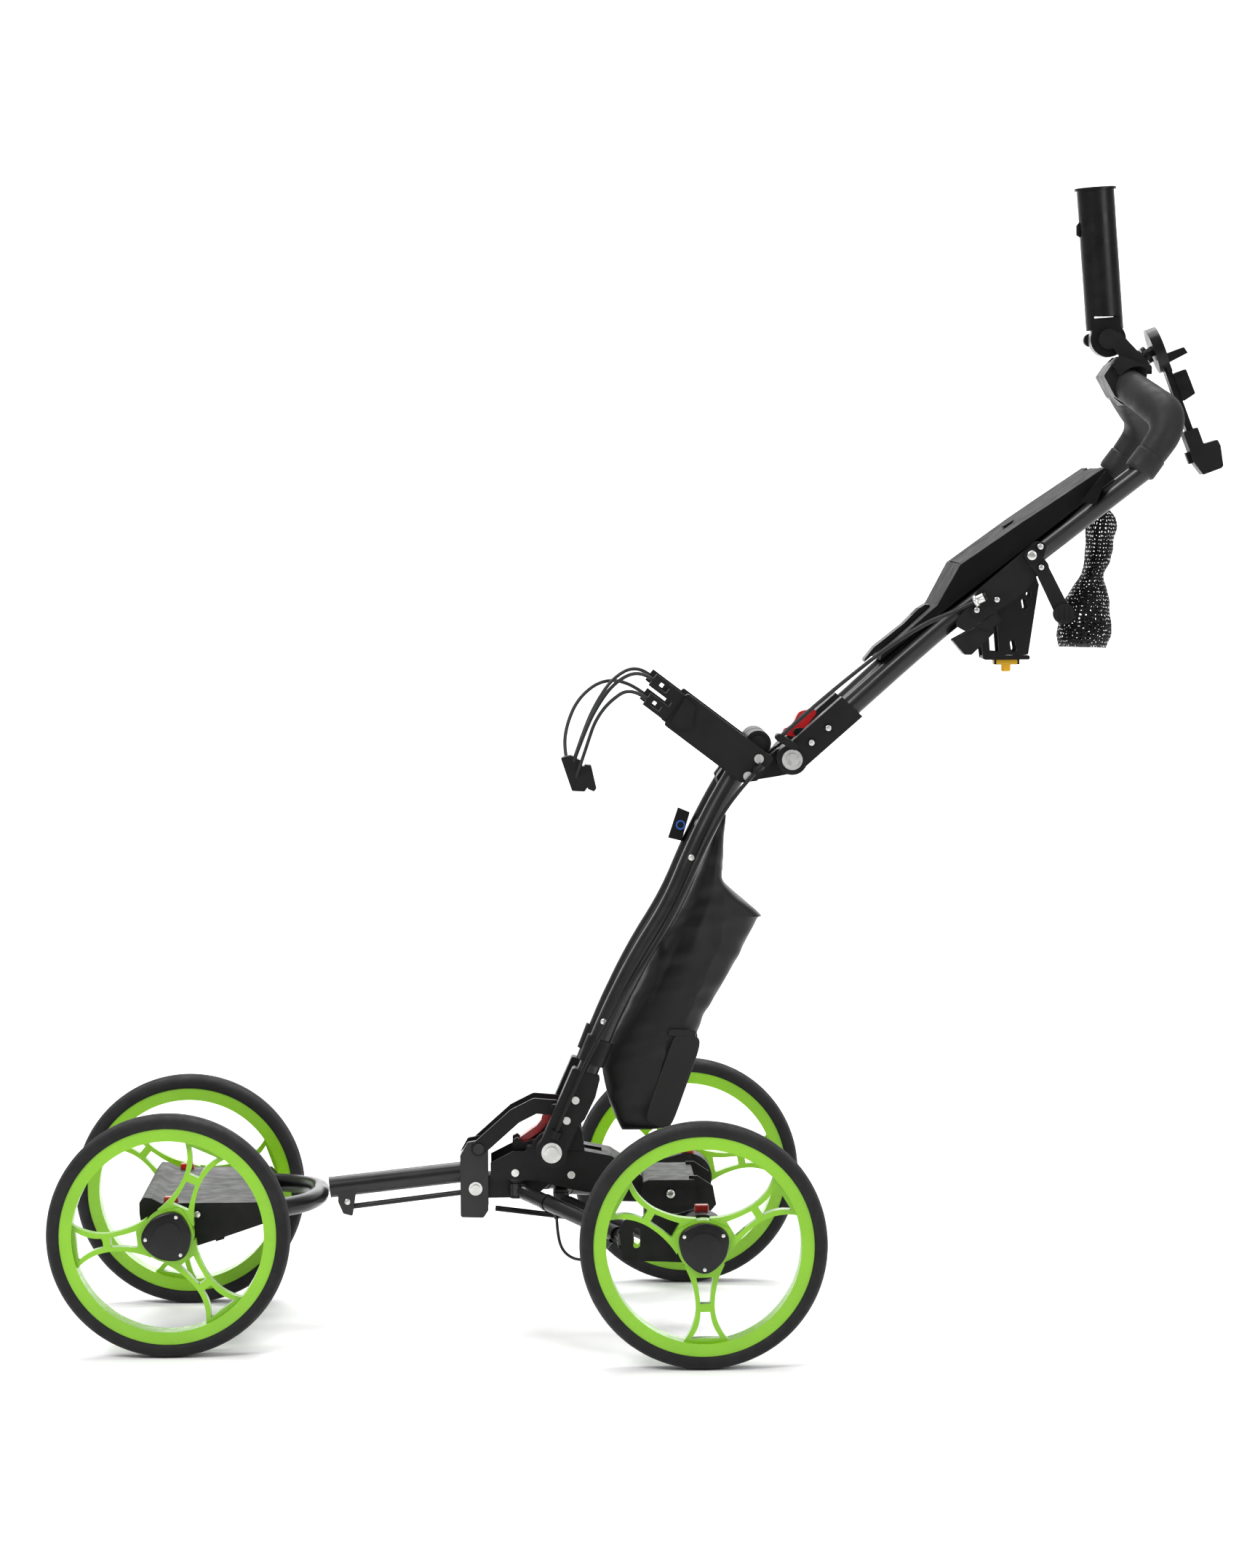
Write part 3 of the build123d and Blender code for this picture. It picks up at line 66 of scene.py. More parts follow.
# ------------------------------------------------------------------ settings
class TrolleySizes(bpy.types.PropertyGroup):
    """Sizes that a user may change."""

    tyre_grooves: bpy.props.IntProperty(
        name="Tread grooves", description="Grooves that run round each tyre", default=5, min=0, max=9)
    groove_depth: bpy.props.FloatProperty(
        name="Groove depth", description="Depth of the tread grooves", default=0.0009, unit="LENGTH")
    bungee_diameter: bpy.props.FloatProperty(
        name="Elastic diameter", description="Thickness of the elastic strands", default=0.0044, unit="LENGTH")
    cable_diameter: bpy.props.FloatProperty(
        name="Cable diameter", description="Thickness of the brake cable's sleeve", default=0.0050,
        unit="LENGTH")
    loop_diameter: bpy.props.FloatProperty(
        name="Rear cable diameter", description="Thickness of the cables under the struts", default=0.0036,
        unit="LENGTH")
    cap_thickness: bpy.props.FloatProperty(
        name="Hub cap", description="How far each hub cap stands out of its hub", default=0.0098, unit="LENGTH")
    bag_fold: bpy.props.FloatProperty(
        name="Bag creases", description="How far the storage bag's cloth folds in and out", default=0.0022,
        unit="LENGTH")


class TrolleyColours(bpy.types.PropertyGroup):
    """Colours that a user may change."""

    rim: bpy.props.FloatVectorProperty(
        name="Rims", description="Moulded rims", default=(0.190, 0.440, 0.008), subtype="COLOR")
    tyre: bpy.props.FloatVectorProperty(
        name="Tyres", description="Foamed tyres", default=(0.0095, 0.0095, 0.0100), subtype="COLOR")
    frame: bpy.props.FloatVectorProperty(
        name="Frame", description="Painted tubes", default=(0.0018, 0.0018, 0.0020), subtype="COLOR")
    plastic: bpy.props.FloatVectorProperty(
        name="Plastic", description="Black mouldings", default=(0.0026, 0.0026, 0.0028), subtype="COLOR")
    release: bpy.props.FloatVectorProperty(
        name="Releases", description="Release buttons and lock levers", default=(0.42, 0.008, 0.010),
        subtype="COLOR")
    cloth: bpy.props.FloatVectorProperty(
        name="Cloth", description="Storage bag", default=(0.0012, 0.0012, 0.0013), subtype="COLOR")


def sizes():
    return bpy.context.scene.trolley_sizes


def colours():
    return bpy.context.scene.trolley_colours


# ------------------------------------------------------------------ surfaces
def grid_faces(rows, columns, close_u, close_v):
    """The four-sided faces of a grid, wound u then v, and each face's place in the grid."""
    u, v = np.meshgrid(np.arange(rows - (not close_u)), np.arange(columns - (not close_v)), indexing="ij")
    u, v = u.ravel(), v.ravel()
    u_next, v_next = (u + 1) % rows, (v + 1) % columns
    faces = np.stack([u * columns + v, u_next * columns + v, u_next * columns + v_next,
                      u * columns + v_next], axis=1)
    return faces, u, v


def surface(name, points, close_u=False, close_v=False, uv=None):
    """A mesh from one grid of points P(u, v), or from a list of grids of one size, closed where asked."""
    grids = points if isinstance(points, list) else [points]
    rows, columns = grids[0].shape[:2]
    faces, u, v = grid_faces(rows, columns, close_u, close_v)
    faces = np.concatenate([faces + index * rows * columns for index in range(len(grids))]).astype(np.int32)
    mesh = bpy.data.meshes.new(name)
    mesh.vertices.add(rows * columns * len(grids))
    mesh.vertices.foreach_set("co", np.concatenate([grid.reshape(-1) for grid in grids]).astype(np.float32))
    mesh.loops.add(faces.size)
    mesh.loops.foreach_set("vertex_index", faces.ravel())
    mesh.polygons.add(len(faces))
    mesh.polygons.foreach_set("loop_start", np.arange(0, faces.size, 4, dtype=np.int32))
    mesh.polygons.foreach_set("use_smooth", np.ones(len(faces), bool))
    if uv is not None:
        layer = mesh.uv_layers.new(name="UVMap")
        corners = np.stack([np.stack([u, v], 1), np.stack([u + 1, v], 1), np.stack([u + 1, v + 1], 1),
                            np.stack([u, v + 1], 1)], axis=1).astype(float)
        corners *= np.array(uv) / np.array([rows - (not close_u), columns - (not close_v)])
        layer.data.foreach_set("uv", np.tile(corners, (len(grids), 1, 1)).reshape(-1).astype(np.float32))
    mesh.update(calc_edges=True)
    mesh.validate()
    return mesh


def turned_head(centre, radius, height, sign, lobe=0.0, first=0.0, profile=None):
    """A round or lobed head about an axis along Y, its face towards sign.

    Radius R(a) = radius + lobe (0.5 + 0.5 cos 3(a - first))^2, carried along a profile of fractions of R
    and heights from the middle of the face outwards and down the side.
    """
    if profile is None:
        t = np.linspace(0, np.pi / 2, 9)
        dome = np.stack([np.sin(t), 0.35 + 0.65 * np.cos(t) ** 0.7], 1)
        profile = np.vstack([dome, [[1.0, 0.0], [0.98, -0.2]]])
        profile[0] = (0, 1)
    profile = np.asarray(profile, float)
    turn = -sign * np.linspace(0, 2 * np.pi, 72, endpoint=False)
    reach = radius + lobe * (0.5 + 0.5 * np.cos(3 * (turn - np.radians(first)))) ** 2
    across = profile[:, :1] * reach[None]
    return np.stack([centre[0] + across * np.cos(turn), centre[1] + sign * height * profile[:, 1:] + 0 * across,
                     centre[2] + across * np.sin(turn)], axis=2)


def lump(centre, half, power=0.3, slope=0.0, count=28):
    """A superellipsoid: half sizes times cosines and sines raised to a power, turned by a slope about Y."""
    u = np.linspace(np.pi / 2, -np.pi / 2, count)[:, None]
    v = np.linspace(0, 2 * np.pi, 2 * count, endpoint=False)[None]

    def raised(value):
        return np.sign(value) * np.abs(value) ** power

    x = half[0] * raised(np.cos(u)) * raised(np.cos(v))
    y = half[1] * raised(np.cos(u)) * raised(np.sin(v))
    z = half[2] * raised(np.sin(u)) + 0 * v
    c, s = np.cos(np.radians(slope)), np.sin(np.radians(slope))
    return np.stack([centre[0] + c * x - s * z, centre[1] + y, centre[2] + s * x + c * z], axis=2)


def piece(name, mesh, body, finish, replaces=()):
    """An object for a finished mesh, riding on a body, with its material; the parts that it replaces are
    hidden.
    """
    thing = bpy.data.objects.new(name, mesh)
    bpy.context.scene.collection.objects.link(thing)
    mesh.materials.append(finish)
    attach(thing, body)
    if replaces:
        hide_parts(*replaces)
    return thing


def smooth_path(points, count):
    """Points along a cubic that passes through the given ones, evenly spaced by length.

    Each span is a Catmull-Rom cubic: half the difference of a point's neighbours is its tangent.
    """
    knots = np.asarray(points, float)
    padded = np.vstack([2 * knots[0] - knots[1], knots, 2 * knots[-1] - knots[-2]])
    t = np.linspace(0, 1, 40, endpoint=False)[:, None]
    spans = [0.5 * ((2 * b) + (c - a) * t + (2 * a - 5 * b + 4 * c - d) * t**2 + (3 * b - a - 3 * c + d) * t**3)
             for a, b, c, d in zip(padded, padded[1:], padded[2:], padded[3:])]
    dense = np.vstack(spans + [knots[-1:]])
    along = np.concatenate([[0], np.cumsum(np.linalg.norm(np.diff(dense, axis=0), axis=1))])
    wanted = np.linspace(0, along[-1], count)
    return np.stack([np.interp(wanted, along, dense[:, axis]) for axis in range(dense.shape[1])], axis=1)


def tube_grid(path, radii, around=48, side=(0.0, 1.0, 0.0)):
    """A round section carried along a path: P = path + r (cos a * across + sin a * over).

    Across is the part of the side vector at right angles to the path, over is their cross product.
    """
    way = np.gradient(path, axis=0)
    way /= np.linalg.norm(way, axis=1, keepdims=True)
    across = np.asarray(side, float) - way * (way @ np.asarray(side, float))[:, None]
    across /= np.linalg.norm(across, axis=1, keepdims=True)
    over = np.cross(way, across)
    turn = np.linspace(0, 2 * np.pi, around, endpoint=False)
    ring = np.cos(turn)[None, :, None] * across[:, None] + np.sin(turn)[None, :, None] * over[:, None]
    return path[:, None] + np.asarray(radii)[:, None, None] * ring


def ripple(points, scale, seed):
    """A smooth random field: a sum of sine waves in seeded directions, near -1 to 1."""
    rng = np.random.default_rng(seed)
    total = np.zeros(points.shape[:-1])
    for _ in range(7):
        direction = rng.normal(size=3)
        direction /= np.linalg.norm(direction)
        pitch = scale * rng.uniform(0.6, 1.6)
        total += np.sin(points @ direction * (2 * np.pi / pitch) + rng.uniform(0, 6.28))
    return total / 4.0


# ------------------------------------------------------------------ finishes
class Shader:
    """Short calls for a material's nodes."""

    def __init__(self, name, colour, roughness, **sockets):
        self.material = bpy.data.materials.new(name)
        self.material.use_nodes = True
        self.tree = self.material.node_tree
        self.main = self.tree.nodes["Principled BSDF"]
        self.main.inputs["Base Color"].default_value = (*colour, 1)
        self.main.inputs["Roughness"].default_value = roughness
        for socket, value in sockets.items():
            self.main.inputs[socket.replace("_", " ").title().replace("Ior", "IOR")].default_value = value
        self.place = self.add("ShaderNodeTexCoord").outputs["Object"]
        self.uv = self.place.node.outputs["UV"]

    def add(self, kind, settings=(), **inputs):
        """A new node, with its settings, and its inputs by name, each a value or another node's socket."""
        node = self.tree.nodes.new(kind)
        for key, value in dict(settings).items():
            setattr(node, key, value)
        for key, value in inputs.items():
            socket = node.inputs[key.replace("_", " ")]
            if isinstance(value, bpy.types.NodeSocket):
                self.tree.links.new(value, socket)
            else:
                socket.default_value = value
        return node

    def noise(self, scale, detail=2.0, where=None):
        """Cloudy noise in object space."""
        return self.add("ShaderNodeTexNoise", Scale=scale, Detail=detail,
                        Vector=where or self.place).outputs["Fac"]

    def range(self, value, low, high, start=0.0, end=1.0):
        """A value carried from start..end to low..high, and held there."""
        return self.add("ShaderNodeMapRange", Value=value, From_Min=start, From_Max=end, To_Min=low,
                        To_Max=high).outputs["Result"]

    def mix(self, amount, first, second):
        """One colour blended into another."""
        node = self.add("ShaderNodeMix", {"data_type": "RGBA"})
        for index, value in ((0, amount), (6, first), (7, second)):
            if isinstance(value, bpy.types.NodeSocket):
                self.tree.links.new(value, node.inputs[index])
            else:
                node.inputs[index].default_value = (*value, 1) if isinstance(value, tuple) else value
        return node.outputs[2]

    def bump(self, height, depth, strength=0.6, under=None):
        """A bumped normal, on top of another one where it is given."""
        node = self.add("ShaderNodeBump", Strength=strength, Distance=depth, Height=height)
        if under is not None:
            self.tree.links.new(under, node.inputs["Normal"])
        return node.outputs["Normal"]

    def set(self, **sockets):
        """Joins sockets to the main shader's inputs."""
        for socket, value in sockets.items():
            self.tree.links.new(value, self.main.inputs[socket.replace("_", " ")])
        return self


def scaled(colour, factor):
    """A colour made lighter or darker."""
    return tuple(min(1.0, channel * factor) for channel in colour)


def moulded(name, colour, roughness=0.42, grain=900.0, depth=0.00006, variation=0.25, coat=0.0, shine=0.25):
    """Moulded plastic: a fine spark-etched grain, faint flow marks and a little dust in its colour."""
    shader = Shader(name, tuple(colour), roughness, coat_weight=coat, coat_roughness=0.15,
                    specular_ior_level=shine)
    cloud = shader.noise(14.0, 4.0)
    grains = shader.noise(grain, 2.0)
    tint = shader.mix(shader.range(cloud, 0, 1, 0.35, 0.65), scaled(colour, 1 - variation),
                      scaled(colour, 1 + variation))
    rough = shader.range(shader.noise(60.0, 3.0), roughness - 0.07, roughness + 0.09, 0.3, 0.7)
    flow = shader.bump(cloud, 0.0006, 0.12)
    return shader.set(Base_Color=tint, Roughness=rough, Normal=shader.bump(grains, depth, 0.55, flow)).material


def painted(name, colour, roughness=0.34):
    """Powder coat on a tube: an even orange-peel surface under a thin clear shine."""
    shader = Shader(name, tuple(colour), roughness, coat_weight=0.22, coat_roughness=0.14,
                    specular_ior_level=0.35)
    peel = shader.noise(420.0, 1.0)
    tint = shader.mix(shader.noise(9.0, 3.0), scaled(colour, 0.85), scaled(colour, 1.25))
    rough = shader.range(shader.noise(35.0, 2.0), roughness - 0.05, roughness + 0.08, 0.3, 0.7)
    return shader.set(Base_Color=tint, Roughness=rough, Normal=shader.bump(peel, 0.00008, 0.35)).material


def rubbery(name, colour, roughness=0.72, grain=650.0, depth=0.00022):
    """Matt foamed rubber: small closed cells and dusty high spots."""
    shader = Shader(name, tuple(colour), roughness, sheen_weight=0.02, sheen_roughness=0.6,
                    specular_ior_level=0.22)
    cells = shader.add("ShaderNodeTexVoronoi", Scale=grain, Vector=shader.place).outputs["Distance"]
    dust = shader.range(shader.noise(24.0, 5.0), 0, 1, 0.45, 0.75)
    tint = shader.mix(dust, scaled(colour, 0.9), scaled(colour, 1.45))
    rough = shader.range(shader.noise(80.0, 3.0), roughness - 0.08, roughness + 0.1, 0.3, 0.7)
    return shader.set(Base_Color=tint, Roughness=rough, Normal=shader.bump(cells, depth, 0.5)).material


def woven(name, colour, threads=900.0, depth=0.0003):
    """Plain-weave cloth: two crossed sets of threads, lifted over and under one another, with painted shade in
    the low points between them and painted highlights on their crests.
    """
    shader = Shader(name, tuple(colour), 0.46, sheen_weight=0.01, sheen_roughness=0.5,
                    specular_ior_level=0.34)
    bands = [shader.add("ShaderNodeTexWave", {"bands_direction": axis}, Scale=threads / 6.28, Distortion=0.4,
                        Detail=1.0, Vector=shader.place).outputs["Fac"] for axis in ("X", "Z")]
    weave = shader.add("ShaderNodeMath", {"operation": "MAXIMUM"})
    for socket, band in zip(weave.inputs, bands):
        shader.tree.links.new(band, socket)
    # painted shade and painted highlight: the weave's low points between threads are darkened and its raised
    # crests lightened
    tint = shader.mix(weave.outputs[0], scaled(colour, 0.55), scaled(colour, 1.7))
    worn = shader.mix(shader.range(shader.noise(18.0, 4.0), 0, 0.5, 0.5, 0.8), tint, scaled(colour, 2.4))
    return shader.set(Base_Color=worn, Normal=shader.bump(weave.outputs[0], depth, 0.5)).material


def steel(name):
    """Bright zinc on steel, with fine turning marks and a few dull patches."""
    shader = Shader(name, (0.62, 0.62, 0.60), 0.28, metallic=1.0)
    marks = shader.noise(1400.0, 2.0)
    rough = shader.range(shader.noise(120.0, 3.0), 0.18, 0.42, 0.3, 0.7)
    return shader.set(Roughness=rough, Normal=shader.bump(marks, 0.00004, 0.3)).material


def netting(name, colour, cells=(38.0, 56.0)):
    """Knitted net: open cells from a jittered Voronoi pattern, the threads between them kept by the mask."""
    shader = Shader(name, tuple(colour), 0.8, sheen_weight=0.03, specular_ior_level=0.2)
    place = shader.add("ShaderNodeMapping", Vector=shader.uv)
    place.inputs["Scale"].default_value = (cells[0], cells[1], 1.0)
    hole = shader.add("ShaderNodeTexVoronoi", {"voronoi_dimensions": "2D", "feature": "DISTANCE_TO_EDGE"},
                      Scale=1.0, Randomness=0.6, Vector=place.outputs[0]).outputs["Distance"]
    thread = shader.range(hole, 1.0, 0.0, 0.26, 0.31)
    lift = shader.bump(hole, 0.0006, 0.6)
    return shader.set(Alpha=thread, Normal=lift).material


def finishes():
    """Every finish of the trolley, made once and shared."""
    if not FINISHES:
        c = colours()
        FINISHES.update(
            rim=moulded("lime_moulding", c.rim, 0.30, grain=500.0, depth=0.00003, variation=0.05, coat=0.2,
                        shine=0.4),
            tyre=rubbery("foamed_tyre", c.tyre, 0.70),
            frame=painted("powder_coated_tube", c.frame),
            plastic=moulded("grained_black_plastic", c.plastic, 0.45),
            cap=moulded("hub_cap_black", c.plastic, 0.34, grain=1200.0, depth=0.00003, shine=0.3),
            lid=moulded("matt_black_cover", c.plastic, 0.62, grain=700.0, depth=0.00005, shine=0.10),
            smooth=moulded("smooth_black_plastic", c.plastic, 0.30, grain=300.0, depth=0.00002),
            release=moulded("red_moulding", c.release, 0.30, grain=400.0, depth=0.00003, variation=0.1,
                            coat=0.2, shine=0.4),
            yellow=moulded("yellow_moulding", (0.62, 0.36, 0.006), 0.4, variation=0.1, shine=0.4),
            blue=moulded("blue_moulding", (0.02, 0.10, 0.42), 0.4, variation=0.1, shine=0.4),
            steel=steel("zinc_steel"),
            cable=moulded("cable_sleeve", (0.004, 0.004, 0.0045), 0.34, grain=200.0, depth=0.00002,
                          coat=0.1),
            elastic=woven("elastic_cover", (0.008, 0.008, 0.009), threads=2600.0, depth=0.0002),
            grip=rubbery("soft_grip", (0.013, 0.013, 0.014), 0.58, grain=900.0, depth=0.00012),
            cloth=woven("bag_cloth", c.cloth, threads=5200.0, depth=0.00012),
            net=netting("knitted_net", (0.004, 0.004, 0.0045)),
        )
    return FINISHES


FINISHES = {}
BY_SLOT = {
    "lime_plastic": "rim", "tyre_rubber": "tyre", "black_paint": "frame", "black_plastic": "plastic",
    "red_plastic": "release", "steel": "steel", "cable_black": "cable", "elastic": "elastic",
    "grip_rubber": "grip", "bag_fabric": "cloth", "net_fabric": "net",
}
BY_NODE = {
    "front_housing": "plastic", "console_lid": "lid", "console_tray": "lid", "umbrella_tube": "smooth",
    "phone_arm": "smooth",
}

# ------------------------------------------------------------------ cords: routes as in the part, metres
ARM_ROOT, ARM_END = np.array([126.0, 668.0]), np.array([40.0, 734.0])
ARM_WAY = (ARM_END - ARM_ROOT) / np.linalg.norm(ARM_END - ARM_ROOT)
ARM_SIDE = np.array([-ARM_WAY[1], ARM_WAY[0]])


def arm_point(along, across):
    """A point of the strap arm, from distances past its end and across it, as x, y, z in millimetres."""
    x, z = ARM_END + ARM_WAY * along + ARM_SIDE * across
    return (x, 80.0, z)


STRAND_UPPER = [arm_point(42, -11), arm_point(60.5, -11), (-30, 67, 766), (-52, 47, 735), (-67, 28, 702),
                (-80.5, 7.7, 664)]
STRAND_LOWER_LEFT = [arm_point(34, 11), arm_point(57, 11), (-38, 70, 742), (-54, 56, 719), (-62, 40, 694),
                     (-76, 10, 650)]
STRAND_LOWER_RIGHT = [arm_point(34, 11), arm_point(57, 11), (-44, 70, 763), (-72, 54, 742), (-86, 40, 712),
                      (-90, 22, 684), (-85, 5.5, 662)]
BRAKE_LOOP = [(-104, 112, 142), (-103, 124, 121), (-96, 146, 106), (-80, 172, 101), (-60, 193, 108),
              (-49, 206, 122)]
LOWER_CABLE = [(-103, 81, 240), (-85, 82, 284), (-60, 83.5, 336), (-24, 87, 400), (20, 90, 466),
               (52, 90, 528), (78, 90, 584), (104, 93.5, 630), (134, 96.5, 662)]
UPPER_CABLE = [(160, 95, 700), (196, 93, 732), (240, 92, 768), (286, 97, 804), (330, 106, 832),
               (364, 117, 846), (386, 121.5, 857)]
CORDS = (
    # name, route, side, body, finish, slot, kind of diameter, length in metres, stiffness
    ("bungee_upper_left", STRAND_UPPER, -1, "lower_frame", "elastic", "elastic", "bungee", 0.179, "limp"),
    ("bungee_upper_right", STRAND_UPPER, 1, "lower_frame", "elastic", "elastic", "bungee", 0.179, "limp"),
    ("bungee_lower_left", STRAND_LOWER_LEFT, -1, "lower_frame", "elastic", "elastic", "bungee", 0.170, "limp"),
    ("bungee_lower_right", STRAND_LOWER_RIGHT, 1, "lower_frame", "elastic", "elastic", "bungee", 0.190, "limp"),
    ("brake_cable_left", BRAKE_LOOP, -1, "strut_left", "cable", "cable_black", "loop", 0.133, "medium"),
    ("brake_cable_right", BRAKE_LOOP, 1, "strut_right", "cable", "cable_black", "loop", 0.133, "medium"),
    ("brake_cable_lower", LOWER_CABLE, -1, "lower_frame", "cable", "cable_black", "cable", 0.486, "medium"),
    ("brake_cable_upper", UPPER_CABLE, -1, "upper_frame", "cable", "cable_black", "cable", 0.280, "medium"),
)


class TROLLEY_OT_cords(bpy.types.Operator):
    """Elastic strands and brake cables, each a smooth spline on its route's points"""

    bl_idname = "trolley.cords"
    bl_label = "Cords"

    def execute(self, context):
        thickness = {"bungee": sizes().bungee_diameter, "cable": sizes().cable_diameter,
                     "loop": sizes().loop_diameter}
        for name, route, side, body, finish, slot_name, kind, length, stiffness in CORDS:
            points = [(x * MM, side * y * MM, z * MM) for x, y, z in route]
            curve = bpy.data.curves.new(name, "CURVE")
            curve.dimensions = "3D"
            spline = curve.splines.new("NURBS")
            spline.points.add(len(points) - 1)
            spline.points.foreach_set("co", np.array([(*p, 1) for p in points]).ravel())
            spline.order_u = 3
            spline.use_endpoint_u = True
            curve.resolution_u = 16
            curve.bevel_depth = thickness[kind] / 2
            curve.bevel_resolution = 5
            curve.use_fill_caps = True
            curve.materials.append(finishes()[finish])
            thing = bpy.data.objects.new("cord_" + name, curve)
            context.scene.collection.objects.link(thing)
            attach(thing, body)
            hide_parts(name)
        return {"FINISHED"}


# ------------------------------------------------------------------ stage
CAMERA_PLACE = (-0.1360, -6.0820, 0.9989)
CAMERA_YAW, CAMERA_PITCH, CAMERA_ROLL = 1.138, 3.358, -0.456    # degrees, right, down, anticlockwise
CAMERA_LENS, SENSOR = 147.9, 36.0
FLOOR_REACH = 40.0              # how far the floor runs in front and to the sides, past any view of it
BACKDROP_FROM, BACKDROP_BEND, BACKDROP_TOP = 5.0, 2.0, 9.0      # where it starts to rise, its radius, its top
LAMPS = (
    # name, place, diameter, power, and the point that it is aimed at
    ("key", (-2.6, -3.4, 4.0), 2.0, 170.0, (0, 0, 0.5)),
    ("fill", (3.4, -3.0, 2.4), 2.6, 70.0, (0, 0, 0.5)),
    ("top", (0.2, 0.4, 4.6), 2.6, 120.0, (0, 0, 0.5)),
    ("wash", (0.0, 3.6, 5.5), 3.5, 420.0, (0, 7.0, 0.5)),
)
SKY_LIGHT, SKY_SEEN = 0.42, 0.80    # world strength as light, and where the camera sees it past the floor


class TROLLEY_OT_stage(bpy.types.Operator):
    """Camera, pale floor and soft studio light"""

    bl_idname = "trolley.stage"
    bl_label = "Stage"

    def execute(self, context):
        yaw, pitch, roll = np.radians([CAMERA_YAW, CAMERA_PITCH, CAMERA_ROLL])
        forward = Vector((np.sin(yaw) * np.cos(pitch), np.cos(yaw) * np.cos(pitch), -np.sin(pitch)))
        level = Vector((np.cos(yaw), -np.sin(yaw), 0))
        up = level.cross(forward)
        right = level * np.cos(roll) + up * np.sin(roll)
        over = up * np.cos(roll) - level * np.sin(roll)
        data = bpy.data.cameras.new("camera")
        data.sensor_fit, data.sensor_width, data.lens = "HORIZONTAL", SENSOR, CAMERA_LENS
        data.clip_end = 50.0
        camera = bpy.data.objects.new("camera", data)
        camera.matrix_world = Matrix.Translation(CAMERA_PLACE) @ Matrix(
            (right, over, -forward)).transposed().to_4x4()
        context.scene.collection.objects.link(camera)
        context.scene.camera = camera

        # floor that curves up into a backdrop: flat, then a quarter circle, then upright
        turn = np.linspace(0, np.pi / 2, 24)
        y = np.concatenate([[-FLOOR_REACH], BACKDROP_FROM + BACKDROP_BEND * np.sin(turn),
                            [BACKDROP_FROM + BACKDROP_BEND]])
        z = np.concatenate([[0.0], BACKDROP_BEND - BACKDROP_BEND * np.cos(turn), [BACKDROP_TOP]])
        x = np.linspace(-FLOOR_REACH, FLOOR_REACH, 3)
        grid = np.stack([np.broadcast_to(x[:, None], (3, len(y))), np.broadcast_to(y, (3, len(y))),
                         np.broadcast_to(z, (3, len(y)))], axis=2)
        floor = bpy.data.objects.new("floor", surface("floor", grid))
        shader = Shader("floor_paint", (0.95, 0.95, 0.95), 0.9)
        # the camera sees through the back of the backdrop, so the trolley can be looked at from behind
        paint = shader.main.outputs["BSDF"]
        clear = shader.add("ShaderNodeBsdfTransparent").outputs["BSDF"]
        for fact in (shader.add("ShaderNodeNewGeometry").outputs["Backfacing"],
                     shader.add("ShaderNodeLightPath").outputs["Is Camera Ray"]):
            either = shader.add("ShaderNodeMixShader", Fac=fact)
            shader.tree.links.new(paint, either.inputs[1])
            shader.tree.links.new(clear, either.inputs[2])
            clear = either.outputs["Shader"]
        shader.tree.links.new(clear, shader.tree.nodes["Material Output"].inputs["Surface"])
        floor.data.materials.append(shader.material)
        context.scene.collection.objects.link(floor)

        for name, place, size, power, target in LAMPS:
            light = bpy.data.lights.new(name, "AREA")
            light.shape, light.size, light.energy = "DISK", size, power
            lamp = bpy.data.objects.new(name, light)
            lamp.location = place
            lamp.visible_camera = False
            aim = Vector(target) - Vector(place)
            lamp.rotation_euler = aim.to_track_quat("-Z", "Y").to_euler()
            context.scene.collection.objects.link(lamp)
        world = bpy.data.worlds.new("studio")
        world.use_nodes = True
        sky = world.node_tree.nodes["Background"]
        sky.inputs["Color"].default_value = (1, 1, 1, 1)
        path = world.node_tree.nodes.new("ShaderNodeLightPath")
        strength = world.node_tree.nodes.new("ShaderNodeMapRange")
        strength.inputs["To Min"].default_value = SKY_LIGHT
        strength.inputs["To Max"].default_value = SKY_SEEN
        world.node_tree.links.new(path.outputs["Is Camera Ray"], strength.inputs["Value"])
        world.node_tree.links.new(strength.outputs["Result"], sky.inputs["Strength"])
        context.scene.world = world
        context.scene.view_settings.view_transform = "Standard"
        return {"FINISHED"}


# ------------------------------------------------------------------ carried-over nodes
class TROLLEY_OT_nodes(bpy.types.Operator):
    """A finish for every node that keeps its own shape"""

    bl_idname = "trolley.nodes"
    bl_label = "Finishes"

    def execute(self, context):
        slots = {entry["node"]: entry["material_slot"] for entry in frame["record"]["subparts"]}
        for name, thing in NODES.items():
            finish = finishes()[BY_NODE.get(name) or BY_SLOT[slots[name]]]
            thing.data.materials.clear()
            thing.data.materials.append(finish)
        return {"FINISHED"}


# ------------------------------------------------------------------ wheels
TYRE_OUTER, TYRE_INNER, TYRE_HALF = 0.140, 0.1243, 0.0208
TYRE_POWER = 2.6                            # roundness of the section: 2 is an ellipse, more is squarer
SHOULDER = 0.0062                           # how far the section's widest ring stands above the seat
GROOVES_TO, GROOVE_HALF = 0.0105, 0.0008    # the outermost groove's distance from the middle, half a width


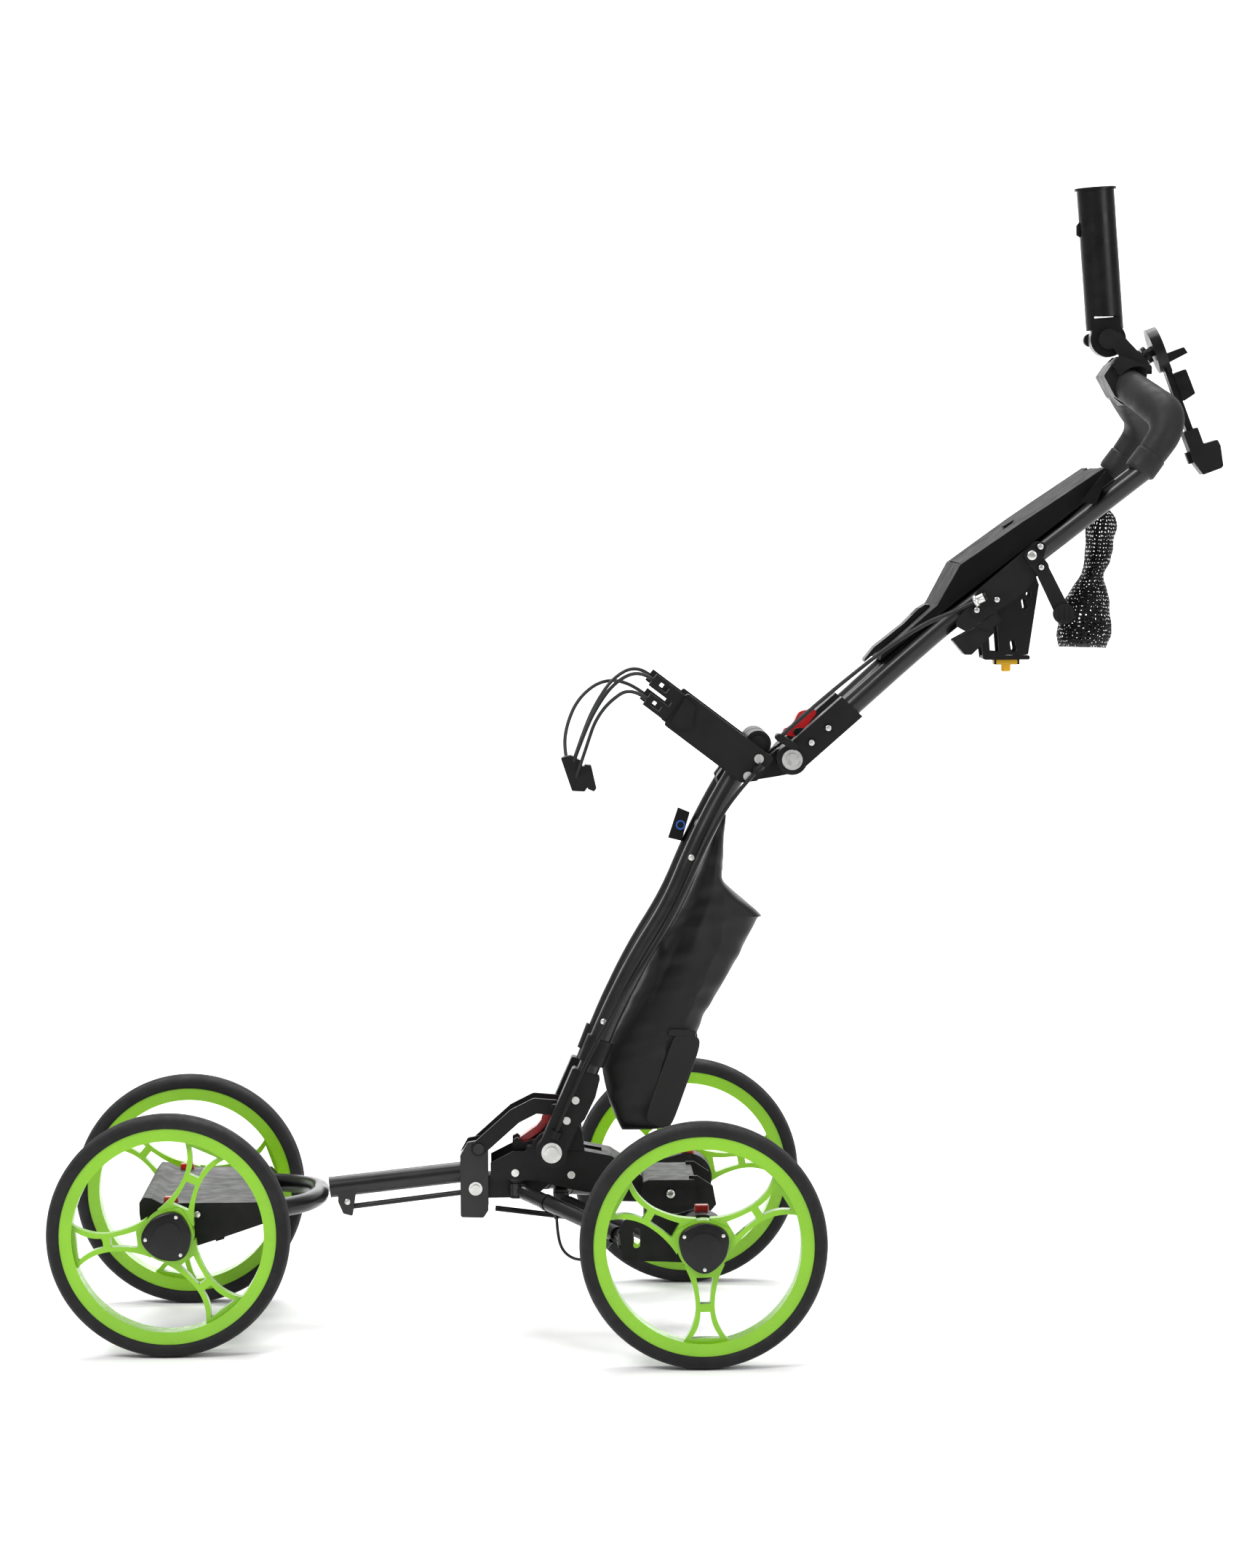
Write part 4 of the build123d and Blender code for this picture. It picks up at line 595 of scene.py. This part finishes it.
class TROLLEY_OT_tyres(bpy.types.Operator):
    """Four foamed tyres with a crowned, grooved tread"""

    bl_idname = "trolley.tyres"
    bl_label = "Tyres"

    def execute(self, context):
        # section: a superellipse for the tread and shoulders, closed by a flat seat on the rim
        angle = np.linspace(np.radians(-68), np.radians(248), 150)
        wide = TYRE_HALF * np.sign(np.cos(angle)) * np.abs(np.cos(angle)) ** (2 / TYRE_POWER)
        middle = TYRE_INNER + SHOULDER
        tall = np.sign(np.sin(angle)) * np.abs(np.sin(angle)) ** (2 / TYRE_POWER)
        tall = middle + (TYRE_OUTER - middle) * tall
        tall = np.maximum(tall, TYRE_INNER)
        count = sizes().tyre_grooves
        for centre in np.linspace(-GROOVES_TO, GROOVES_TO, count):
            dip = np.exp(-(((wide - centre) / GROOVE_HALF) ** 4)) * (tall > middle)
            tall = tall - sizes().groove_depth * dip
        turn = np.linspace(0, 2 * np.pi, 288, endpoint=False)
        for end, side in WHEELS:
            node = f"tyre_{end}_{side}"
            low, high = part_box(node)
            centre = (low + high) / 2
            grid = np.stack([centre.x + tall[None] * np.cos(turn)[:, None],
                             centre.y + np.broadcast_to(wide, (len(turn), len(wide))),
                             centre.z + tall[None] * np.sin(turn)[:, None]], axis=2)
            mesh = surface("round_" + node, grid, close_u=True, close_v=True)
            piece("round_" + node, mesh, f"wheel_{end}_{side}", finishes()["tyre"], (node,))
        return {"FINISHED"}


# ------------------------------------------------------------------ grip
GRIP_ROUTE = [(575, 135.5, 1004.5), (578, 135, 1009), (592, 134, 1028), (606, 130, 1050), (608, 114, 1071),
              (596, 92, 1085), (583, 60, 1098), (574, 20, 1108), (573, 0, 1109)]
GRIP_RADII = [17.5, 17.5, 17.5, 19.0, 22.0, 21.0, 20.0, 20.0, 20.0]
GRIP_STEPS, GRIP_AROUND = 420, 64
COLLAR_AT, COLLAR_LIFT = 0.026, 0.0009      # distance of the collar's end from the grip's, and its thickness
COLLAR_GAP, COLLAR_GAP_HALF = 0.0007, 0.0009    # depth and half width of the groove that ends the collar


class TROLLEY_OT_grip(bpy.types.Operator):
    """The looped soft grip, one smooth tube from tube end to tube end"""

    bl_idname = "trolley.grip"
    bl_label = "Grip"

    def execute(self, context):
        half = np.array([(*p, r) for p, r in zip(GRIP_ROUTE, GRIP_RADII)], float) * MM
        mirrored = half[::-1][1:] * np.array([1, -1, 1, 1])
        route = smooth_path(np.vstack([half, mirrored]), GRIP_STEPS)
        radii = route[:, 3].copy()
        ends = np.minimum(np.arange(GRIP_STEPS), np.arange(GRIP_STEPS)[::-1]) / 5.0
        radii *= np.where(ends < 1, 0.86 + 0.14 * np.sqrt(1 - (1 - np.minimum(ends, 1)) ** 2), 1.0)
        steps = np.linalg.norm(np.diff(route[:, :3], axis=0), axis=1)
        along = np.concatenate([[0], np.cumsum(steps)])
        from_end = np.minimum(along, along[-1] - along)
        gap = COLLAR_GAP * np.exp(-(((from_end - COLLAR_AT) / COLLAR_GAP_HALF) ** 2))
        radii += COLLAR_LIFT * (from_end < COLLAR_AT) - gap
        grid = tube_grid(route[:, :3], radii, GRIP_AROUND, side=(0.8, 0.0, -0.6))
        first = np.repeat(route[:1, :3], GRIP_AROUND, axis=0)[None]
        last = np.repeat(route[-1:, :3], GRIP_AROUND, axis=0)[None]
        grid = np.concatenate([first, grid, last])
        mesh = surface("soft_grip", grid, close_v=True, uv=(1.0, 1.0))
        piece("soft_grip", mesh, "upper_frame", finishes()["grip"], ("handle_grip",))
        return {"FINISHED"}


# ------------------------------------------------------------------ bags
BAG_FRONT = [(97, 605), (85, 589), (77, 566), (50, 504), (23, 460), (10, 437), (-24, 366), (-45, 325),
             (-47, 300), (-39, 264), (-25, 231)]
BAG_BACK = [(101, 605), (98, 580), (97, 545), (99, 524), (139, 488), (136, 480), (107, 424), (82, 384),
            (66, 352), (42, 263), (28, 238), (5, 232)]
BAG_HALF_WIDTH, NET_HALF_WIDTH = 0.036, 0.037
BAG_FOLDS = (
    # start x and z, end x and z, how far it stands out, how wide it is, all in millimetres
    (94, 592, 82, 512, 3.0, 6.0), (84, 516, 30, 370, 5.0, 9.0), (32, 372, 12, 260, 4.5, 8.0),
    (97, 512, 92, 455, 3.5, 6.0), (92, 456, 38, 338, 4.5, 7.0), (98, 516, 136, 487, 3.0, 8.0),
    (-42, 308, 22, 424, -3.5, 9.0), (-24, 236, 20, 338, 3.5, 7.0), (70, 470, 100, 430, -3.0, 9.0),
    (48, 470, 8, 380, -3.0, 8.0),
)


FOLD_ROUND = 0.0008     # rounds a fold's ridge over this distance


def creases(x, z, folds):
    """Sharp-backed folds: each adds out * exp(-|d| / wide), faded at the ends of its line."""
    total = np.zeros_like(x)
    for x0, z0, x1, z1, out, wide in folds:
        run = np.array([x1 - x0, z1 - z0], float) * MM
        length = np.linalg.norm(run)
        t = ((x - x0 * MM) * run[0] + (z - z0 * MM) * run[1]) / length**2
        d = ((x - x0 * MM) * run[1] - (z - z0 * MM) * run[0]) / length
        d = np.sqrt(d**2 + FOLD_ROUND**2)
        fade = np.clip(1.15 - np.abs(2 * t - 1), 0, 1) ** 0.7
        total += out * MM * np.exp(-d / (wide * MM)) * fade
    return total


def pouch(front, back, half_width, rows, around, crease, seed, edge=4.0, folds=()):
    """A closed sewn pouch, flat-sided and full between its edges.

    Down its length v runs from top to bottom, with the front and back lines as two smooth curves. Around it
    the section is a superellipse of the given power between those lines, as deep as they are apart and as
    wide as the pouch, pinched to a seam at both ends, with creases added along the outward direction.
    """
    f = smooth_path(np.array(front, float) * MM, rows)
    b = smooth_path(np.array(back, float) * MM, rows)
    middle, reach = (f + b) / 2, (b - f) / 2
    v = np.linspace(0, 1, rows)
    fullness = np.clip(1 - np.abs(2 * v - 1) ** 14, 0.0, 1) ** 0.5
    turn = np.linspace(0, 2 * np.pi, around, endpoint=False)
    c, s = np.cos(turn), np.sin(turn)
    deep = np.sign(c) * np.abs(c) ** (2 / edge)
    wide = np.sign(s) * np.abs(s) ** (2 / edge)
    grid = np.empty((rows, around, 3))
    grid[..., 0] = middle[:, :1] + reach[:, :1] * deep
    grid[..., 2] = middle[:, 1:] + reach[:, 1:] * deep
    grid[..., 1] = half_width * fullness[:, None] * wide
    outward = np.stack([reach[:, :1] * deep, half_width * 0.8 * wide + 0 * reach[:, :1],
                        reach[:, 1:] * deep], axis=2)
    outward /= np.linalg.norm(outward, axis=2, keepdims=True) + 1e-9
    stretch = grid * np.array([1.0, 0.6, 1.7])
    lift = crease * (ripple(stretch, 0.085, seed) + 0.5 * ripple(stretch, 0.032, seed + 1))
    lift = lift * fullness[:, None] ** 2 * np.abs(wide) ** 0.5
    side = creases(grid[..., 0], grid[..., 2], folds) * np.abs(wide) * fullness[:, None]
    grid[..., 1] += np.sign(wide) * side
    return grid + outward * lift[..., None]


def closed_ends(grid):
    """The grid with each end drawn together to its middle point, so that the surface is closed."""
    around = grid.shape[1]
    top = np.repeat(grid[:1].mean(axis=1, keepdims=True), around, axis=1)
    foot = np.repeat(grid[-1:].mean(axis=1, keepdims=True), around, axis=1)
    return np.concatenate([top, grid, foot])


class TROLLEY_OT_storage_bag(bpy.types.Operator):
    """The cloth storage bag between the lower tubes, with its folds and a pocket on each side"""

    bl_idname = "trolley.storage_bag"
    bl_label = "Storage bag"

    def execute(self, context):
        grid = pouch(BAG_FRONT, BAG_BACK, BAG_HALF_WIDTH, rows=300, around=200, crease=sizes().bag_fold,
                     seed=5, folds=BAG_FOLDS)
        mesh = surface("storage_pouch", closed_ends(grid), close_v=True, uv=(1.0, 1.0))
        bag = piece("storage_pouch", mesh, "lower_frame", finishes()["cloth"], ("storage_bag",))
        # a flat pocket on each side, then the welt along its top
        pocket = [lump((0.035, sign * 0.038, 0.294), (0.017, 0.0035, 0.058), 0.35, -20.0) for sign in (-1, 1)]
        pocket += [lump((0.046, sign * 0.0395, 0.350), (0.0165, 0.002, 0.004), 0.4, -3.0) for sign in (-1, 1)]
        mesh = surface("side_pockets", pocket, close_v=True, uv=(1.0, 1.0))
        pockets = piece("side_pockets", mesh, "lower_frame", finishes()["cloth"])
        return {"FINISHED"}


NET_FRONT = [(542, 966), (533, 952), (529, 925), (527, 895), (512, 868), (500, 845), (494, 820), (496, 800)]
NET_BACK = [(553, 965), (562, 948), (561, 925), (556, 903), (549, 884), (556, 850), (556, 818), (552, 798)]


class TROLLEY_OT_net_bag(bpy.types.Operator):
    """The slack net pouch that hangs below the console"""

    bl_idname = "trolley.net_bag"
    bl_label = "Net bag"

    def execute(self, context):
        grid = pouch(NET_FRONT, NET_BACK, NET_HALF_WIDTH, rows=160, around=128, crease=0.0028, seed=21,
                     edge=3.0)
        mesh = surface("net_pouch", closed_ends(grid), close_v=True, uv=(1.0, 1.0))
        pouch_piece = piece("net_pouch", mesh, "upper_frame", finishes()["net"], ("net_bag",))
        return {"FINISHED"}


# ------------------------------------------------------------------ hub caps and small pieces
CAP_R, CAP_LOBE, HUB_FACE = 0.0268, 0.0032, 0.012
CAP_SCREW_RING, CAP_SCREW_R, CAP_SCREW_HEIGHT = 0.0253, 0.0021, 0.0008
SPOKE_TURN = {"front_left": 66.0, "front_right": 20.0, "rear_left": 31.0, "rear_right": 10.0}
CAP_PROFILE = ((0, 1.0), (0.56, 1.0), (0.60, 0.99), (0.64, 0.955), (0.67, 0.94), (0.90, 0.92), (0.96, 0.88),
               (0.99, 0.80), (1.0, 0.70), (1.0, 0.0))


class TROLLEY_OT_hub_caps(bpy.types.Operator):
    """Black three-cornered hub caps with three small screws each"""

    bl_idname = "trolley.hub_caps"
    bl_label = "Hub caps"

    def execute(self, context):
        for end, side in WHEELS:
            low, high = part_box(f"rim_{end}_{side}")
            centre, sign = (low + high) / 2, -1 if side == "left" else 1
            first = SPOKE_TURN[f"{end}_{side}"]
            face = (centre.x, centre.y + sign * HUB_FACE, centre.z)
            grid = turned_head(face, CAP_R, sizes().cap_thickness, sign, CAP_LOBE, first, CAP_PROFILE)
            mesh = surface(f"hub_cap_{end}_{side}", grid, close_v=True)
            piece(f"hub_cap_{end}_{side}", mesh, f"wheel_{end}_{side}", finishes()["cap"])
            heads = []
            for step in range(3):
                turn = np.radians(first + 120 * step)
                spot = (centre.x + CAP_SCREW_RING * np.cos(turn),
                        face[1] + sign * 0.925 * sizes().cap_thickness,
                        centre.z + CAP_SCREW_RING * np.sin(turn))
                heads.append(turned_head(spot, CAP_SCREW_R, CAP_SCREW_HEIGHT, sign))
            mesh = surface(f"cap_screws_{end}_{side}", heads, close_v=True)
            piece(f"cap_screws_{end}_{side}", mesh, f"wheel_{end}_{side}", finishes()["steel"])
        return {"FINISHED"}


SCREWS = {
    # body: x, outer face's distance from the middle, z, head radius, height, and the sides it is on
    "lower_frame": ((-47, 76.5, 368, 3.6, 2.0, (-1, 1)), (57, 81.5, 560, 3.6, 2.0, (-1, 1))),
    "upper_frame": ((198.6, 78.0, 692.7, 3.4, 1.4, (-1, 1)), (218.3, 78.0, 709.7, 3.4, 1.4, (-1, 1)),
                    (452.0, 128.0, 910.0, 5.6, 2.4, (-1,)), (462.5, 121.0, 920.0, 3.6, 1.6, (-1,)),
                    (412.0, 121.0, 859.0, 3.2, 1.4, (-1,)), (388.5, 121.0, 847.0, 3.2, 1.4, (-1,))),
    "brake": ((463.0, 127.0, 896.0, 3.2, 1.4, (-1,)),),
    "front_frame": ((-351, 12.0, 150, 3.6, 2.0, (-1, 1)), (-519, 161.0, 158, 3.8, 1.8, (-1, 1))),
    "base": ((30, 81.0, 165, 5.0, 2.0, (-1, 1)),),
}


ADJUSTER_START, ADJUSTER_WAY = (386.0, -121.5, 857.0), (22.0, -4.5, 11.0)
ADJUSTER_STEPS = (-1.0, -0.6, 3.4, 3.8, 4.2, 12.0, 12.4, 13.0)      # distances along it, then its radii there
ADJUSTER_RADII = (0.0, 7.2, 7.2, 5.6, 5.3, 5.3, 4.6, 0.0)
TAG_CENTRE, TAG_RING, TAG_THREAD = (0.049, 0.0555, 0.589), 0.0048, 0.0011


class TROLLEY_OT_small_pieces(bpy.types.Operator):
    """Screw heads, the cable's adjuster, the yellow cup clip and the blue tag"""

    bl_idname = "trolley.small_pieces"
    bl_label = "Small pieces"

    def execute(self, context):
        for body, rows in SCREWS.items():
            heads = [turned_head((x * MM, sign * y * MM, z * MM), radius * MM, height * MM, sign)
                     for x, y, z, radius, height, signs in rows for sign in signs]
            mesh = surface(f"screws_{body}", heads, close_v=True)
            piece(f"screws_{body}", mesh, body, finishes()["steel"])
        way = np.array(ADJUSTER_WAY) / np.linalg.norm(ADJUSTER_WAY)
        steps = np.array(ADJUSTER_STEPS)[:, None] * MM
        grid = tube_grid(np.array(ADJUSTER_START) * MM + steps * way, np.array(ADJUSTER_RADII) * MM, 32)
        mesh = surface("cable_adjuster", grid, close_v=True)
        piece("cable_adjuster", mesh, "upper_frame", finishes()["steel"])
        clip = [lump((0.433, 0.0, 0.7830), (0.0154, 0.0154, 0.0034), 0.25),
                lump((0.433, 0.0, 0.7765), (0.0054, 0.0056, 0.0052), 0.25)]
        mesh = surface("cup_clip", clip, close_v=True)
        piece("cup_clip", mesh, "cup", finishes()["yellow"])
        # a ring in a plane across Y: P = centre + (ring + thread cos v) outwards - thread sin v along Y
        turn = np.linspace(0, 2 * np.pi, 40, endpoint=False)[:, None, None]
        around = np.linspace(0, 2 * np.pi, 12, endpoint=False)[None, :, None]
        out = np.cos(turn) * np.array([1.0, 0, 0]) + np.sin(turn) * np.array([0, 0, 1.0])
        grid = (np.array(TAG_CENTRE) + (TAG_RING + TAG_THREAD * np.cos(around)) * out
                + TAG_THREAD * np.sin(around) * np.array([0, -1.0, 0]))
        mesh = surface("blue_tag", grid, close_u=True, close_v=True)
        piece("blue_tag", mesh, "lower_frame", finishes()["blue"])
        return {"FINISHED"}


# ------------------------------------------------------------------ add-on
OPERATORS = (
    TROLLEY_OT_stage, TROLLEY_OT_cords, TROLLEY_OT_nodes, TROLLEY_OT_tyres, TROLLEY_OT_grip,
    TROLLEY_OT_storage_bag, TROLLEY_OT_net_bag, TROLLEY_OT_hub_caps, TROLLEY_OT_small_pieces,
)


class TROLLEY_PT_panel(bpy.types.Panel):
    """The trolley's settings and pieces"""

    bl_label = "Golf push trolley"
    bl_idname = "TROLLEY_PT_panel"
    bl_space_type = "VIEW_3D"
    bl_region_type = "UI"
    bl_category = "Trolley"

    def draw(self, context):
        for group in (context.scene.trolley_sizes, context.scene.trolley_colours):
            for key in group.__annotations__:
                self.layout.prop(group, key)
        for operator in OPERATORS:
            self.layout.operator(operator.bl_idname)


CLASSES = (TrolleySizes, TrolleyColours, *OPERATORS, TROLLEY_PT_panel)


def register():
    for cls in CLASSES:
        bpy.utils.register_class(cls)
    bpy.types.Scene.trolley_sizes = bpy.props.PointerProperty(type=TrolleySizes)
    bpy.types.Scene.trolley_colours = bpy.props.PointerProperty(type=TrolleyColours)


def unregister():
    del bpy.types.Scene.trolley_sizes, bpy.types.Scene.trolley_colours
    for cls in reversed(CLASSES):
        bpy.utils.unregister_class(cls)


def main():
    register()
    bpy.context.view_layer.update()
    for operator in OPERATORS:
        group, name = operator.bl_idname.split(".")
        getattr(getattr(bpy.ops, group), name)()


if __name__ == "__main__":
    main()
